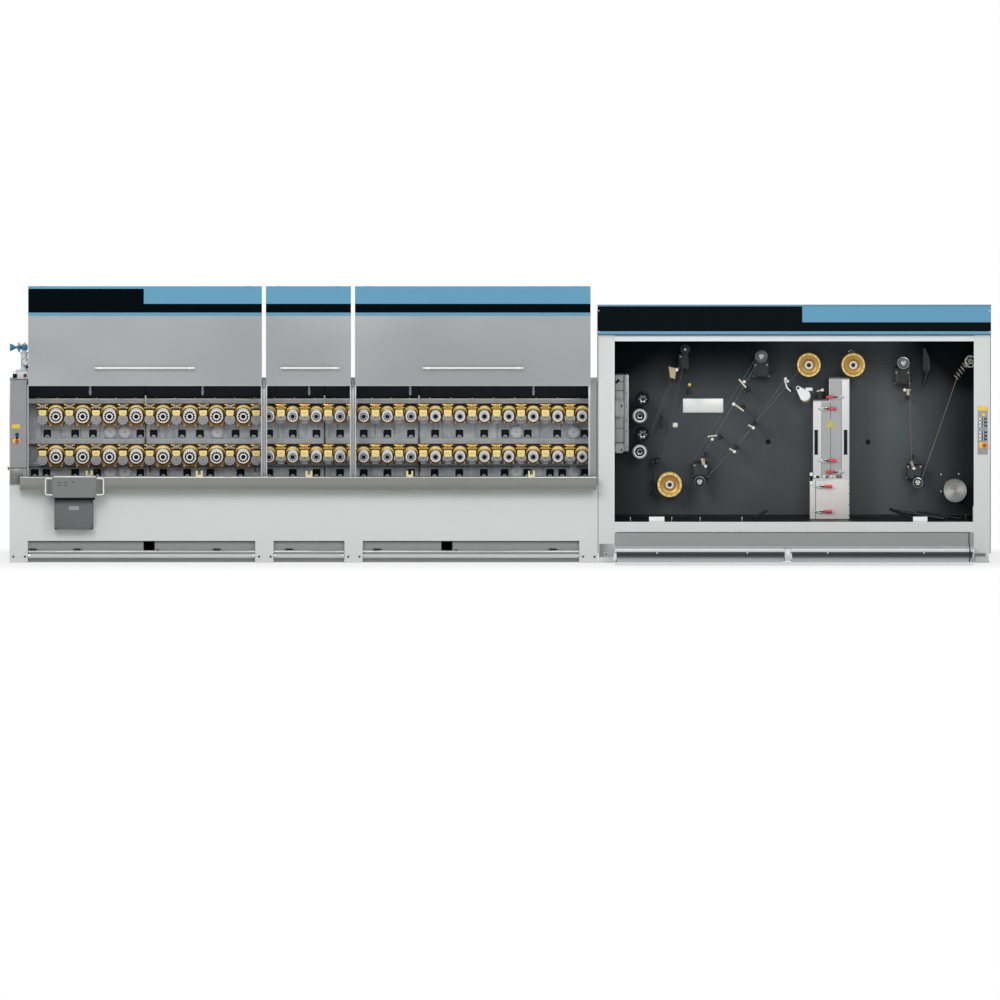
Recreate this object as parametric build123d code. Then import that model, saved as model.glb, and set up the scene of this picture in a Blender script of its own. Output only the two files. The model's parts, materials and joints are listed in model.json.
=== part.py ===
"""Multiwire drawing machine with a resistance annealer beside it, standing on one floor.

Lengths are millimetres. While a piece is modelled, x runs right from the drawing machine's left
end, y runs back from the front panels and z runs up from the floor. Each piece is then shifted so
that the origin is the middle of the whole line's footprint, on the floor.
"""

from build123d import *
from math import cos, pi, sin
import os

# Side counts of the many-sided bars that stand for turned parts, which keeps the faces few
thin_rod_sides = 6
rod_sides = 8
wheel_sides = 16
roller_sides = 10

# Both machines
machine_depth = 1500
base_top = 700
cover_thickness = 12
cover_inset = 20
seam = 2
shaft_clearance = 0.05
running_gap = 6

# Drawing machine, along its length
drawing_length = 5292
left_post_width = 162
right_post_width = 72
bay_post_width = 34
bay_post_depth = 70
bay_post_centres = (0.4329 * drawing_length, 0.5843 * drawing_length)
post_front = 8
strip_width = 10
strip_thickness = 34
chamber_left = left_post_width
chamber_right = drawing_length - right_post_width
chamber_length = chamber_right - chamber_left
foot_width = 164
middle_foot_setbacks = (79, 77)
foot_lefts = (
    0,
    bay_post_centres[0] - middle_foot_setbacks[0],
    bay_post_centres[1] - middle_foot_setbacks[1],
    drawing_length - foot_width,
)
foot_height = 198

# Drawing machine, heights and depths
post_top = 1645
roof_thickness = 40
wall_front = 350
wall_thickness = 60
case_top = 1461
housing_top = 1540
ledge_front = 290
upper_ledge_drop = 47
middle_ledge_bottom = 1050
middle_ledge_top = 1098
lower_ledge_bottom = 843
lower_ledge_top = 879
lower_ledge_front = 330
case_shares = (0, 0.2096, 0.4209, 0.5285, 0.6965, 1)

# Sill that catches the drawing liquid
sill_left = 94
sill_end_gap = 9
sill_right = drawing_length - sill_end_gap
sill_front = -130
sill_back = -20
sill_bottom = 666
sill_top = 783
sill_return = 30
sheet = 4

# Skirting between the feet
skirt_front = 40
skirt_thickness = 6
ledge_plate_bottom = 88
ledge_plate_top = 108
ledge_plate_reach = 30
rail_radius = 16
rail_height = 56
rail_front = 30
pocket_width = 102
pocket_depth = 1100
pocket_centres = (1256, 3936)
pocket_wall = 5

# Capstan rows: spacing, axis height and face sizes of the three kinds
upper_axis = 1310
row_drop = 365
first_kind_pitch = 0.04765 * chamber_length
second_kind_pitch = 0.04211 * chamber_length
third_kind_pitch = 0.0435 * chamber_length
first_kind_start = chamber_left + 0.0502 * chamber_length
second_kind_start = chamber_left + 0.4296 * chamber_length
third_kind_start = chamber_left + 0.726 * chamber_length
first_kind_count = 8
second_kind_count = 7
third_kind_count = 7
ring_front = 130
ring_taper = 8
ring_sides = 10
guard_front = 230
first_ring_radius = 59
second_ring_radius = 48
third_ring_radius = 47
first_guard_rise = 98
second_guard_rise = 88
third_guard_rise = 92
first_guard_gap = 7
second_guard_gap = 11
third_guard_gap = 16
guard_drop = 96
short_guard_drop = 66
guard_foot_share = 0.74
guard_shoulder_share = 0.33
guard_arch_sides = 5

# Die holders between the capstans
holder_front = 150
holder_thickness = 50
holder_bar_width = 98
holder_bar_height = 36
holder_block_width = 68
holder_block_foot = 58
lug_radius = 37
lug_front = 160
lug_below_axis = 28
lug_sides = 6
holder_top_above_axis = 111

# Drain ports and round bosses in the gear cases
port_width = 62
port_height = 62
port_depth = 30
port_upper_bottom = 1110
port_lower_bottom = 755
first_port_shifts = (-80, -70, -150, 36, -85, -71, -151, -70)
first_lower_port_shifts = (-88, -71, -110, 36, 2, -25, -57, -26)
third_port_shifts = (-4, -5, -2, -33, -50, -5, 22)
third_lower_port_shifts = (-9, -7, -5, -38, -54, -69, 26)
extra_upper_port = 2196
extra_lower_ports = (222, 4975)
boss_radius = 48
boss_reach = 20
boss_upper_height = 1157
boss_lower_height = 797
boss_upper_centres = (903, 1035, 1868, 4563, 5079)
boss_lower_centres = (903, 1035, 4563, 5079)

# Spray nozzles under the chamber roof and tool clips on the sill
nozzle_shares = (0.1368, 0.3282, 0.5094, 0.6814, 0.8912)
nozzle_centres = [share * drawing_length for share in nozzle_shares]
nozzle_y = 200
nozzle_radius = 9
nozzle_bottom = 1500
clip_shares = (0.1357, 0.3229, 0.5094, 0.6808, 0.8878)
clip_centres = [share * drawing_length for share in clip_shares]
clip_front = -110
clip_thickness = 20
clip_width = 60
clip_height = 54
clip_mouth_width = 28
clip_mouth_depth = 34

# Lifting doors
door_gap = 36
door_left = 171
door_right = 5229
door_bottom = 1601
door_height = 897
door_front = -75
door_thickness = 37
door_sheet = 3
rail_inset = 120
rail_web = 12
rail_flange = 50
rail_flange_thickness = 8
rail_flange_back = -12
guide_clearance = 0.5
guide_width = 90
guide_lip = 11
handle_height = 1765
handle_radius = 9
handle_stand_off = 42
handle_end_inset = 30
stand_off_radius = 7
handle_spans = ((774, 1665), (2444, 2964), (3726, 4621))

# Annealer
annealer_left = drawing_length
annealer_length = 3540
annealer_right = annealer_left + annealer_length
annealer_post_width = 153
annealer_post_depth = 80
annealer_post_bottom = 85
annealer_foot_inset = 18
annealer_foot_width = 124
side_wall = 50
header_bottom = 2058
header_top = 2322
header_front = -30
header_back = 120
annealer_roof_top = 2200
floor_top = 369
panel_front = 700
panel_thickness = 30
shutter_bottom = 1998
shutter_height = 47
shutter_front = 12
shutter_thickness = 40
curtain_inset = 14
curtain_thickness = 12

# Step in front of the annealer
step_reach = 300
step_top = 145
step_nosing = 27
step_sheet = 5
floor_plate_reach = 340
floor_plate_height = 30
gusset_thickness = 8
middle_gusset_left = annealer_left + 0.4729 * annealer_length
middle_gusset_width = 63
middle_gusset_inset = 40

# Rollers, sheaves and contact wheels: (share of the annealer's length from its left end, z, outer radius)
rollers = ((0.1158, 1445, 57), (0.1082, 1296, 69), (0.1155, 1125, 58), (0.1082, 972, 69))
sheaves = ((0.2234, 1895, 45), (0.4172, 1832, 57), (0.7791, 1773, 54), (0.2605, 700, 50), (0.8158, 693, 45))
contact_wheels = ((0.5384, 1754, 106), (0.6514, 1754, 106), (0.1842, 672, 111))
outlet_drum_place = (0.9113, 617, 104)
spoked_wheel_place = (0.9503, 1786, 56)
wheel_front = 450
wheel_width = 120
wheel_flange = 16
wheel_groove = 13
wheel_pin_radius = 18
sheave_width = 40
sheave_groove = 15
sheave_pin_radius = 12
roller_width = 110
roller_groove = 8
spindle_radius = 42
pin_end = 8
bracket_thickness = 26
bracket_head_radius = 26
bracket_foot_width = 80
bracket_drop = 160
bracket_shelf_height = 50
drum_edge = 6
spoke_count = 5
spoke_width = 8
spoke_inset = 14
spoke_bite = 2
rim_thickness = 9
rim_inset = 8
hub_radius = 22

# Annealing column and entry unit
column_front = 350
column_left = annealer_left + 0.5492 * annealer_length
column_middle = annealer_left + 0.5898 * annealer_length
column_right = annealer_left + 0.6412 * annealer_length
column_high_top = 1631
column_low_top = 1433
column_foot_left = annealer_left + 0.5410 * annealer_length
column_foot_top = 724
slot_inset = 11
slot_depth = 30
slot_width = 36
slot_bottom = 938
slot_top = 1163
entry_right = annealer_left + 0.0799 * annealer_length
entry_bottom = 974
entry_top = 1660
entry_depth = 200
entry_block_left = annealer_left + 0.0432 * annealer_length
entry_block_right = annealer_left + 0.0636 * annealer_length
entry_block_reach = 60
entry_block_heights = ((1290, 1430), (974, 1020))

# Toggle clamps on the column: (share of the annealer's length, z, side its lever points to)
clamps = (
    (0.6133, 1464, -1),
    (0.5771, 1360, 1),
    (0.5771, 890, 1),
    (0.6138, 782, -1),
    (0.5661, 652, 1),
    (0.5661, 422, 1),
)
clamp_hub_width = 32
clamp_reach = 26
clamp_lever_length = 74
clamp_lever_width = 14

# Wire guides on the panel: (share of the annealer's length, z, length of the cross bar)
wire_guide_places = (
    (0.1895, 1700, 70),
    (0.2325, 1600, 40),
    (0.3695, 1620, 80),
    (0.3610, 1400, 80),
    (0.4641, 1650, 80),
    (0.3850, 1215, 60),
    (0.3381, 1000, 50),
    (0.2893, 1110, 80),
    (0.2669, 880, 60),
    (0.1983, 1220, 50),
)
wire_guide_stud_radius = 9
wire_guide_front = 462
wire_guide_bar = 18

# Teardrop lever beside the first contact wheel
lever_place = (0.5277, 1463)
lever_rise = 100
lever_head_radius = 50
lever_tip_radius = 16
lever_front = 470
lever_thickness = 30
lever_stud_radius = 24

# Console, junction box and buttons
console_left = 387
console_right = 788
console_bottom = 602
console_top = 796
console_depth = 60
junction_left = 405
junction_right = 756
junction_bottom = 308
junction_top = 577
junction_depth = 120
console_handle_bottom = 615
console_handle_top = 769
console_handle_reach = 63
console_handle_bar = 14
stop_radius = 30
stop_reach = 34
button_radius = 12
button_reach = 12
left_stop = (64, 1075)
left_buttons = ((66, 1134), (66, 1170))
side_button_reach = 18
side_button_radius = 16
side_button_y = 100
side_button_height = 845
right_panel_inset = 73
right_stop_height = 1062
right_button_heights = (1134, 1215, 1270, 1337)

# Liquid pipe with its gauge and valve, on top of the left post
pipe_x = 131
pipe_y = 205
pipe_radius = 31
pipe_length = 177
pipe_block_left = 63
pipe_block_right = 190
pipe_block_front = 150
pipe_block_back = 260
pipe_block_height = 78
block_top = post_top + pipe_block_height
pipe_top = block_top + pipe_length
gauge_x = 142
gauge_below_top = 95
gauge_radius = 36
gauge_front = 140
valve_left = 2
valve_axis = pipe_top + 30
valve_wheel_radius = 34
valve_wheel_length = 50
valve_stem_radius = 12
valve_stem_length = 12
valve_body_radius = 28
valve_body_length = 88
valve_neck_radius = 20

centre_x = (annealer_right - side_button_reach) / 2
centre_y = (machine_depth + cover_thickness - floor_plate_reach) / 2


def block(x0, x1, y0, y1, z0, z1):
    """Plain block between two corners."""
    middle = Pos((x0 + x1) / 2, (y0 + y1) / 2, (z0 + z1) / 2)
    return middle * Box(abs(x1 - x0), y1 - y0, z1 - z0)


def along_x(outline, x0, x1):
    """Straight bar from x0 to x1 with an outline of (y, z) points."""
    face = make_face(Plane.YZ * Polyline(*outline, close=True))
    return Pos(x0, 0, 0) * extrude(face, amount=x1 - x0, dir=(1, 0, 0))


def along_y(face, y0, y1):
    """Straight bar from y0 to y1 of a face drawn on (x, z)."""
    return Pos(0, y0, 0) * extrude(face, amount=y1 - y0, dir=(0, 1, 0))


def along_z(outline, z0, z1):
    """Straight bar from z0 to z1 with an outline of (x, y) points."""
    face = make_face(Polyline(*outline, close=True))
    return Pos(0, 0, z0) * extrude(face, amount=z1 - z0, dir=(0, 0, 1))


def many_sided(radius, length, sides):
    """Straight many-sided bar that stands on z = 0."""
    return extrude(RegularPolygon(radius, sides), amount=length)


def flat_face(*corners):
    """Flat face with these corners."""
    return Face(Wire.make_polygon(corners, close=True))


def stacked(x, z, sides, *sections):
    """Many-sided turned part along y at (x, z), with flat walls between its (radius, y) sections."""
    turns = [2 * pi * i / sides for i in range(sides)]
    loops = [[(x + r * cos(a), y, z + r * sin(a)) for a in turns] for r, y in sections]
    walls = [flat_face(*loops[0]), flat_face(*loops[-1])]
    for near, far in zip(loops[:-1], loops[1:]):
        walls += [flat_face(near[i - 1], near[i], far[i], far[i - 1]) for i in range(sides)]
    return Solid(Shell(walls))


def rod(x, z, radius, y0, y1, sides=rod_sides):
    """Many-sided bar that runs front to back."""
    return stacked(x, z, sides, (radius, y0), (radius, y1))


def bore(x, z, pin_radius, y0, y1):
    """Truly round bore for a pin, with a running clearance."""
    radius = pin_radius + shaft_clearance
    return Pos(x, (y0 + y1) / 2, z) * Rot(90, 0, 0) * Cylinder(radius, y1 - y0)


def across(share):
    """The x at a share of the annealer's length from its left end."""
    return annealer_left + share * annealer_length


def outline_face(*edges):
    """Face on the (x, z) plane inside a closed loop of edges."""
    return make_face(Curve() + list(edges))


def save(node, solids):
    """Writes one named piece, shifted to the line's own origin."""
    shift = Pos(-centre_x, -centre_y, 0)
    placed = [shift * solid for piece in solids for solid in piece.solids()]
    export_step(Compound(placed), f"parts/{node}.step")


def rows():
    """Axis heights of the upper and the lower row."""
    return upper_axis, upper_axis - row_drop


def kinds():
    """Each kind's start, pitch and count, then its ring radius, guard gap, guard rise and guard drop."""
    return (
        (first_kind_start, first_kind_pitch, first_kind_count,
         first_ring_radius, first_guard_gap, first_guard_rise, guard_drop),
        (second_kind_start, second_kind_pitch, second_kind_count,
         second_ring_radius, second_guard_gap, second_guard_rise, short_guard_drop),
        (third_kind_start, third_kind_pitch, third_kind_count,
         third_ring_radius, third_guard_gap, third_guard_rise, short_guard_drop),
    )


def capstan_places():
    """Each capstan's x with its ring radius, guard width, guard rise and guard drop."""
    places = []
    for start, pitch, count, radius, gap, rise, drop in kinds():
        width = pitch - 2 * lug_radius - gap
        places += [(start + i * pitch, radius, width, rise, drop) for i in range(count)]
    return places


def holder_places():
    """Each die holder's x: half a pitch left of its capstan."""
    places = []
    for i in range(first_kind_count + 1):
        places.append(first_kind_start + (i - 0.5) * first_kind_pitch)
    for i in range(1, second_kind_count):
        places.append(second_kind_start + (i - 0.5) * second_kind_pitch)
    for i in range(third_kind_count):
        places.append(third_kind_start + (i - 0.5) * third_kind_pitch)
    return places


def port_places():
    """Each drain port's x and its bottom height: one under each capstan, moved aside where a boss stands."""
    seconds = [second_kind_start + i * second_kind_pitch for i in range(second_kind_count)]
    upper = [extra_upper_port] + seconds
    lower = list(extra_lower_ports) + seconds
    for shifts, row in ((first_port_shifts, upper), (first_lower_port_shifts, lower)):
        row += [first_kind_start + i * first_kind_pitch + shift for i, shift in enumerate(shifts)]
    for shifts, row in ((third_port_shifts, upper), (third_lower_port_shifts, lower)):
        row += [third_kind_start + i * third_kind_pitch + shift for i, shift in enumerate(shifts)]
    return [(x, port_upper_bottom) for x in upper] + [(x, port_lower_bottom) for x in lower]


def boss_places():
    """Each round boss's x and height."""
    upper = [(x, boss_upper_height) for x in boss_upper_centres]
    return upper + [(x, boss_lower_height) for x in boss_lower_centres]


def base_feet():
    """Four cross beams under the drawing machine, from front to back."""
    return [block(x, x + foot_width, 0, machine_depth, 0, foot_height) for x in foot_lefts]


def drawing_base():
    """Closed welded base that holds the liquid tank."""
    return [block(0, drawing_length, 0, machine_depth, foot_height, base_top)]


def skirt_spans():
    """The three stretches between neighbouring feet."""
    return [(a + foot_width, b) for a, b in zip(foot_lefts[:-1], foot_lefts[1:])]


def case_spans():
    """Left and right end of each gear case."""
    ends = [chamber_left + share * chamber_length for share in case_shares]
    return [(a, b - seam) for a, b in zip(ends[:-1], ends[1:])]


def skirting():
    """Set-back panels between the feet with their ledges, parted at the fork pockets, and floor pipes."""
    pieces = []
    for x0, x1 in skirt_spans():
        cuts = [c for c in pocket_centres if x0 < c < x1]
        edges = [x0]
        for c in cuts:
            edges += [c - pocket_width / 2, c + pocket_width / 2]
        edges.append(x1)
        ledge = block(x0, x1, skirt_front - ledge_plate_reach, skirt_front + skirt_thickness,
                      ledge_plate_bottom, ledge_plate_top)
        panels = [block(a, b, skirt_front, skirt_front + skirt_thickness, ledge_plate_top, foot_height)
                  for a, b in zip(edges[::2], edges[1::2])]
        front = ledge
        for panel in panels:
            front = front + panel
        pieces.append(front)
        rear = machine_depth - skirt_front
        pieces.append(block(x0, x1, rear, rear + skirt_thickness, ledge_plate_bottom, foot_height))
        pipe = Rot(0, 90, 0) * many_sided(rail_radius, x1 - x0, thin_rod_sides)
        pieces.append(Pos(x0, rail_front + rail_radius, rail_height) * pipe)
    return pieces


def forklift_pockets():
    """Black pockets under the base for a fork lift truck, closed at their inner end."""
    pieces = []
    y0 = skirt_front
    top = foot_height
    for c in pocket_centres:
        outer = block(c - pocket_width / 2, c + pocket_width / 2, y0, y0 + pocket_depth,
                      ledge_plate_top, top)
        inner = block(c - pocket_width / 2 + pocket_wall, c + pocket_width / 2 - pocket_wall,
                      y0, y0 + pocket_depth - pocket_wall,
                      ledge_plate_top + pocket_wall, top - pocket_wall)
        pieces.append(outer - inner)
    return pieces


def sill_tray():
    """Folded sheet: front lip, flat sill, and a floor that runs back to the gear cases."""
    outline = (
        (sill_front, sill_bottom),
        (sill_front, sill_top),
        (sill_back, sill_top),
        (sill_back, base_top + sheet),
        (wall_front, base_top + sheet),
        (wall_front, base_top),
        (sill_back - sheet, base_top),
        (sill_back - sheet, sill_top - sheet),
        (sill_front + sheet, sill_top - sheet),
        (sill_front + sheet, sill_bottom + sheet),
        (sill_front + sill_return, sill_bottom + sheet),
        (sill_front + sill_return, sill_bottom),
    )
    tray = along_x(outline, chamber_left, chamber_right)
    lip = along_x(
        (
            (sill_front, sill_bottom),
            (sill_front, sill_top),
            (sill_back, sill_top),
            (sill_back, sill_top - sheet),
            (sill_front + sheet, sill_top - sheet),
            (sill_front + sheet, sill_bottom),
        ),
        sill_left,
        sill_right,
    )
    for x in (sill_left, sill_right - sheet):
        lip = lip + block(x, x + sheet, sill_front, sill_back, sill_bottom, sill_top)
    return [tray + lip]


def door_posts():
    """End columns and the two narrow posts between the doors."""
    back = post_front + bay_post_depth
    end_back = wall_front + wall_thickness
    posts = [block(0, left_post_width, post_front, end_back, base_top, post_top)]
    for c in bay_post_centres:
        half = bay_post_width / 2
        posts.append(block(c - half, c + half, post_front, back, base_top + sheet, post_top))
    posts.append(block(chamber_right, drawing_length, post_front, end_back, base_top, post_top))
    return posts


def guide_strips():
    """White plastic strips on both sides of each post, which the doors shut against."""
    edges = [(chamber_left, 1), (chamber_right, -1)]
    for c in bay_post_centres:
        edges += [(c + bay_post_width / 2, 1), (c - bay_post_width / 2, -1)]
    back = post_front + strip_thickness
    top = post_top - roof_thickness
    return [block(x, x + side * strip_width, post_front, back, base_top + sheet, top) for x, side in edges]


def die_holder_lug(x, axis):
    """Half-round lug that stands out of the gear case under a die holder."""
    top = axis - lug_below_axis
    whole = rod(x, top, lug_radius, lug_front, wall_front, lug_sides)
    return whole - block(x - lug_radius, x + lug_radius, lug_front, wall_front, top, top + lug_radius)


def gear_cases():
    """Five cast cases side by side, with ledges, lugs, drain ports and round bosses."""
    back = wall_front + wall_thickness
    outline = (
        (back, base_top),
        (wall_front, base_top),
        (wall_front, lower_ledge_bottom),
        (lower_ledge_front, lower_ledge_bottom),
        (lower_ledge_front, lower_ledge_top),
        (wall_front, lower_ledge_top),
        (wall_front, middle_ledge_bottom),
        (ledge_front, middle_ledge_bottom),
        (ledge_front, middle_ledge_top),
        (wall_front, middle_ledge_top),
        (wall_front, case_top - upper_ledge_drop),
        (ledge_front, case_top - upper_ledge_drop),
        (ledge_front, case_top),
        (back, case_top),
    )
    cases = []
    for left, right in case_spans():
        case = along_x(outline, left, right)
        for x in holder_places():
            if left < x < right:
                for axis in rows():
                    case = case + die_holder_lug(x, axis)
        for x, z in boss_places():
            if left < x < right:
                case = case + rod(x, z, boss_radius, wall_front - boss_reach, wall_front)
        for x, z in port_places():
            if left < x < right:
                case = case - block(x - port_width / 2, x + port_width / 2, wall_front,
                                    wall_front + port_depth, z, z + port_height)
        cases.append(case)
    return cases


def chamber_back_panels():
    """Dark panels between the gear cases and the roof."""
    back = wall_front + wall_thickness
    return [block(a, b, wall_front, back, case_top, post_top - roof_thickness) for a, b in case_spans()]


def chamber_roof():
    """Roof over the drawing chamber."""
    back = wall_front + wall_thickness
    roof = block(chamber_left, chamber_right, post_front, back, post_top - roof_thickness, post_top)
    for c in bay_post_centres:
        half = bay_post_width / 2
        roof = roof - block(c - half, c + half, post_front, post_front + bay_post_depth,
                            post_top - roof_thickness, post_top)
    return [roof]


def drive_housing():
    """Closed housing of the drives behind the gear cases."""
    front = wall_front + wall_thickness
    return [block(0, drawing_length, front, machine_depth, base_top, housing_top)]


def rear_covers():
    """Plain covers on the backs of both machines."""
    pieces = []
    for a, b in zip(foot_lefts[:-1], foot_lefts[1:]):
        pieces.append(block(a + foot_width / 2 + seam, b + foot_width / 2 - seam, machine_depth,
                            machine_depth + cover_thickness,
                            base_top + cover_inset, housing_top - cover_inset))
    third = (annealer_length - 2 * side_wall) / 3
    for i in range(3):
        x = annealer_left + side_wall + i * third
        pieces.append(block(x + seam, x + third - seam, machine_depth, machine_depth + cover_thickness,
                            floor_top + cover_inset, header_bottom - cover_inset))
    return pieces


def guard(x, axis, width, rise, drop):
    """Gold-coloured guard round a capstan: arched top, straight sides and a tapered foot."""
    half = width / 2
    foot = half * guard_foot_share
    spring = axis + rise - half
    shoulder = axis - drop * guard_shoulder_share
    steps = [pi * i / guard_arch_sides for i in range(guard_arch_sides + 1)]
    arch = [(x + half * cos(a), 0, spring + half * sin(a)) for a in steps]
    sides = [(x - half, 0, shoulder), (x - foot, 0, axis - drop), (x + foot, 0, axis - drop),
             (x + half, 0, shoulder)]
    return along_y(make_face(Polyline(*arch, *sides, close=True)), guard_front, wall_front)


def capstan_guards():
    """Guards of both rows, notched over the lower ledge."""
    ledge = block(0, drawing_length, lower_ledge_front, wall_front, lower_ledge_bottom, lower_ledge_top)
    pieces = []
    for x, radius, width, rise, drop in capstan_places():
        upper, lower = rows()
        pieces.append(guard(x, upper, width, rise, drop))
        pieces.append(guard(x, lower, width, rise, drop) - ledge)
    return pieces


def capstan_rings():
    """White drawing rings, each a little narrower where it meets its guard."""
    return [stacked(x, axis, ring_sides, (radius, ring_front), (radius - ring_taper, guard_front))
            for x, radius, width, rise, drop in capstan_places() for axis in rows()]


def die_holder(x, axis):
    """Clamp bar over a tapered block, standing on its lug."""
    top = axis + holder_top_above_axis
    bar_bottom = top - holder_bar_height
    bar = holder_bar_width / 2
    block_half = holder_block_width / 2
    foot = holder_block_foot / 2
    seat = axis - lug_below_axis
    face = outline_face(Polyline(
        (x - bar, 0, top),
        (x + bar, 0, top),
        (x + bar, 0, bar_bottom),
        (x + block_half, 0, bar_bottom),
        (x + foot, 0, seat),
        (x - foot, 0, seat),
        (x - block_half, 0, bar_bottom),
        (x - bar, 0, bar_bottom),
        close=True,
    ))
    return along_y(face, holder_front, holder_front + holder_thickness)


def die_holders():
    """Die holders of both rows."""
    return [die_holder(x, axis) for x in holder_places() for axis in rows()]


def spray_nozzles():
    """Rods that hang from the roof, one for each group of dies."""
    nozzle = many_sided(nozzle_radius, post_top - roof_thickness - nozzle_bottom, thin_rod_sides)
    return [Pos(x, nozzle_y, nozzle_bottom) * nozzle for x in nozzle_centres]


def fork_clips():
    """Small forks on the sill that hold tools."""
    back = clip_front + clip_thickness
    top = sill_top + clip_height
    pieces = []
    for x in clip_centres:
        clip = block(x - clip_width / 2, x + clip_width / 2, clip_front, back, sill_top, top)
        mouth = block(x - clip_mouth_width / 2, x + clip_mouth_width / 2, clip_front, back,
                      top - clip_mouth_depth, top)
        pieces.append(clip - mouth)
    return pieces


def door_edges():
    """Left and right edge of each door."""
    first, second = bay_post_centres
    half = door_gap / 2
    return ((door_left, first - half), (first + half, second - half), (second + half, door_right))


def rail_places(x0, x1):
    """The two rails of a door, set in from its edges."""
    return x0 + rail_inset, x1 - rail_inset


def door(x0, x1):
    """Folded sheet panel with two T-shaped guide rails down its back."""
    back = door_front + door_thickness
    top = door_bottom + door_height
    panel = block(x0, x1, door_front, back, door_bottom, top)
    panel = panel - block(x0 + door_sheet, x1 - door_sheet, door_front + door_sheet, back,
                          door_bottom + door_sheet, top - door_sheet)
    flange_front = rail_flange_back - rail_flange_thickness
    for x in rail_places(x0, x1):
        outline = (
            (x - rail_web / 2, door_front + door_sheet),
            (x + rail_web / 2, door_front + door_sheet),
            (x + rail_web / 2, flange_front),
            (x + rail_flange / 2, flange_front),
            (x + rail_flange / 2, rail_flange_back),
            (x - rail_flange / 2, rail_flange_back),
            (x - rail_flange / 2, flange_front),
            (x - rail_web / 2, flange_front),
        )
        panel = panel + along_z(outline, door_bottom, top)
    return panel


def door_guides():
    """Blocks on the front of the roof that hold the doors' rails."""
    flange_front = rail_flange_back - rail_flange_thickness
    pieces = []
    for x0, x1 in door_edges():
        for x in rail_places(x0, x1):
            outer = guide_width / 2
            neck = rail_web / 2 + guide_clearance
            pocket = rail_flange / 2 + guide_clearance
            front = flange_front - guide_lip
            outline = (
                (x - outer, post_front),
                (x - outer, front),
                (x - neck, front),
                (x - neck, flange_front - guide_clearance),
                (x - pocket, flange_front - guide_clearance),
                (x - pocket, rail_flange_back + guide_clearance),
                (x + pocket, rail_flange_back + guide_clearance),
                (x + pocket, flange_front - guide_clearance),
                (x + neck, flange_front - guide_clearance),
                (x + neck, front),
                (x + outer, front),
                (x + outer, post_front),
            )
            pieces.append(along_z(outline, post_top - roof_thickness, post_top))
    return pieces


def door_handle(x0, x1):
    """Long bar handle on two stand-offs."""
    bar_y = door_front - handle_stand_off
    bar = Pos(x0, bar_y, handle_height) * Rot(0, 90, 0) * many_sided(handle_radius, x1 - x0, rod_sides)
    for x in (x0 + handle_end_inset, x1 - handle_end_inset):
        bar = bar + rod(x, handle_height, stand_off_radius, bar_y, door_front, thin_rod_sides)
    return bar


def console_handle(x, side):
    """U-shaped handle on one side of the console."""
    front = sill_front - (console_depth + console_handle_bar) / 2
    back = front + console_handle_bar
    end = x + side * console_handle_reach
    outer = block(x, end, front, back, console_handle_bottom, console_handle_top)
    inner = block(x, end - side * console_handle_bar, front, back,
                  console_handle_bottom + console_handle_bar, console_handle_top - console_handle_bar)
    return outer - inner


def operator_console():
    """Stainless console on the sill, with a handle at each side."""
    body = block(console_left, console_right, sill_front - console_depth, sill_front,
                 console_bottom, console_top)
    return [body + console_handle(console_left, -1) + console_handle(console_right, 1)]


def junction_box():
    """Dark box on the base under the console."""
    return [block(junction_left, junction_right, -junction_depth, 0, junction_bottom, junction_top)]


def water_valve():
    """Valve with a flared handwheel, lying across the top of its pipe."""
    stem_start = valve_wheel_length
    stem_end = stem_start + valve_stem_length
    body_end = stem_end + valve_body_length
    wheel = stacked(0, 0, rod_sides, (valve_wheel_radius, 0), (valve_stem_radius, stem_start),
                    (valve_stem_radius, stem_end))
    body = rod(0, 0, valve_body_radius, stem_end, body_end)
    lying = Pos(valve_left, pipe_y, valve_axis) * Rot(0, 0, -90) * (wheel + body)
    neck = Pos(pipe_x, pipe_y, pipe_top) * many_sided(valve_neck_radius, valve_axis - pipe_top, rod_sides)
    return [lying + neck]


def liquid_pipe():
    """Upright pipe with its block and pressure gauge on top of the left post."""
    foot = block(pipe_block_left, pipe_block_right, pipe_block_front, pipe_block_back, post_top, block_top)
    pipe = Pos(pipe_x, pipe_y, block_top) * many_sided(pipe_radius, pipe_length, rod_sides)
    return [foot + pipe + rod(gauge_x, pipe_top - gauge_below_top, gauge_radius, gauge_front, pipe_y)]


def control_buttons():
    """Push buttons and emergency stops on both end columns."""
    pieces = [rod(*left_stop, stop_radius, post_front - stop_reach, post_front)]
    for x, z in left_buttons:
        pieces.append(rod(x, z, button_radius, post_front - button_reach, post_front))
    side = Rot(0, 90, 0) * many_sided(side_button_radius, side_button_reach, rod_sides)
    pieces.append(Pos(-side_button_reach, side_button_y, side_button_height) * side)
    x = annealer_right - right_panel_inset
    pieces.append(rod(x, right_stop_height, stop_radius, -stop_reach, 0))
    for z in right_button_heights:
        pieces.append(rod(x, z, button_radius, -button_reach, 0))
    return pieces


def annealer_uprights():
    """Front columns either side of the annealer's opening, with the side walls behind them."""
    pieces = []
    for x in (annealer_left, annealer_right - annealer_post_width):
        pieces.append(block(x, x + annealer_post_width, 0, annealer_post_depth,
                            annealer_post_bottom, header_bottom))
    for x in (annealer_left, annealer_right - side_wall):
        pieces.append(block(x, x + side_wall, annealer_post_depth + seam, machine_depth,
                            floor_top, header_bottom))
    return pieces


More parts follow.
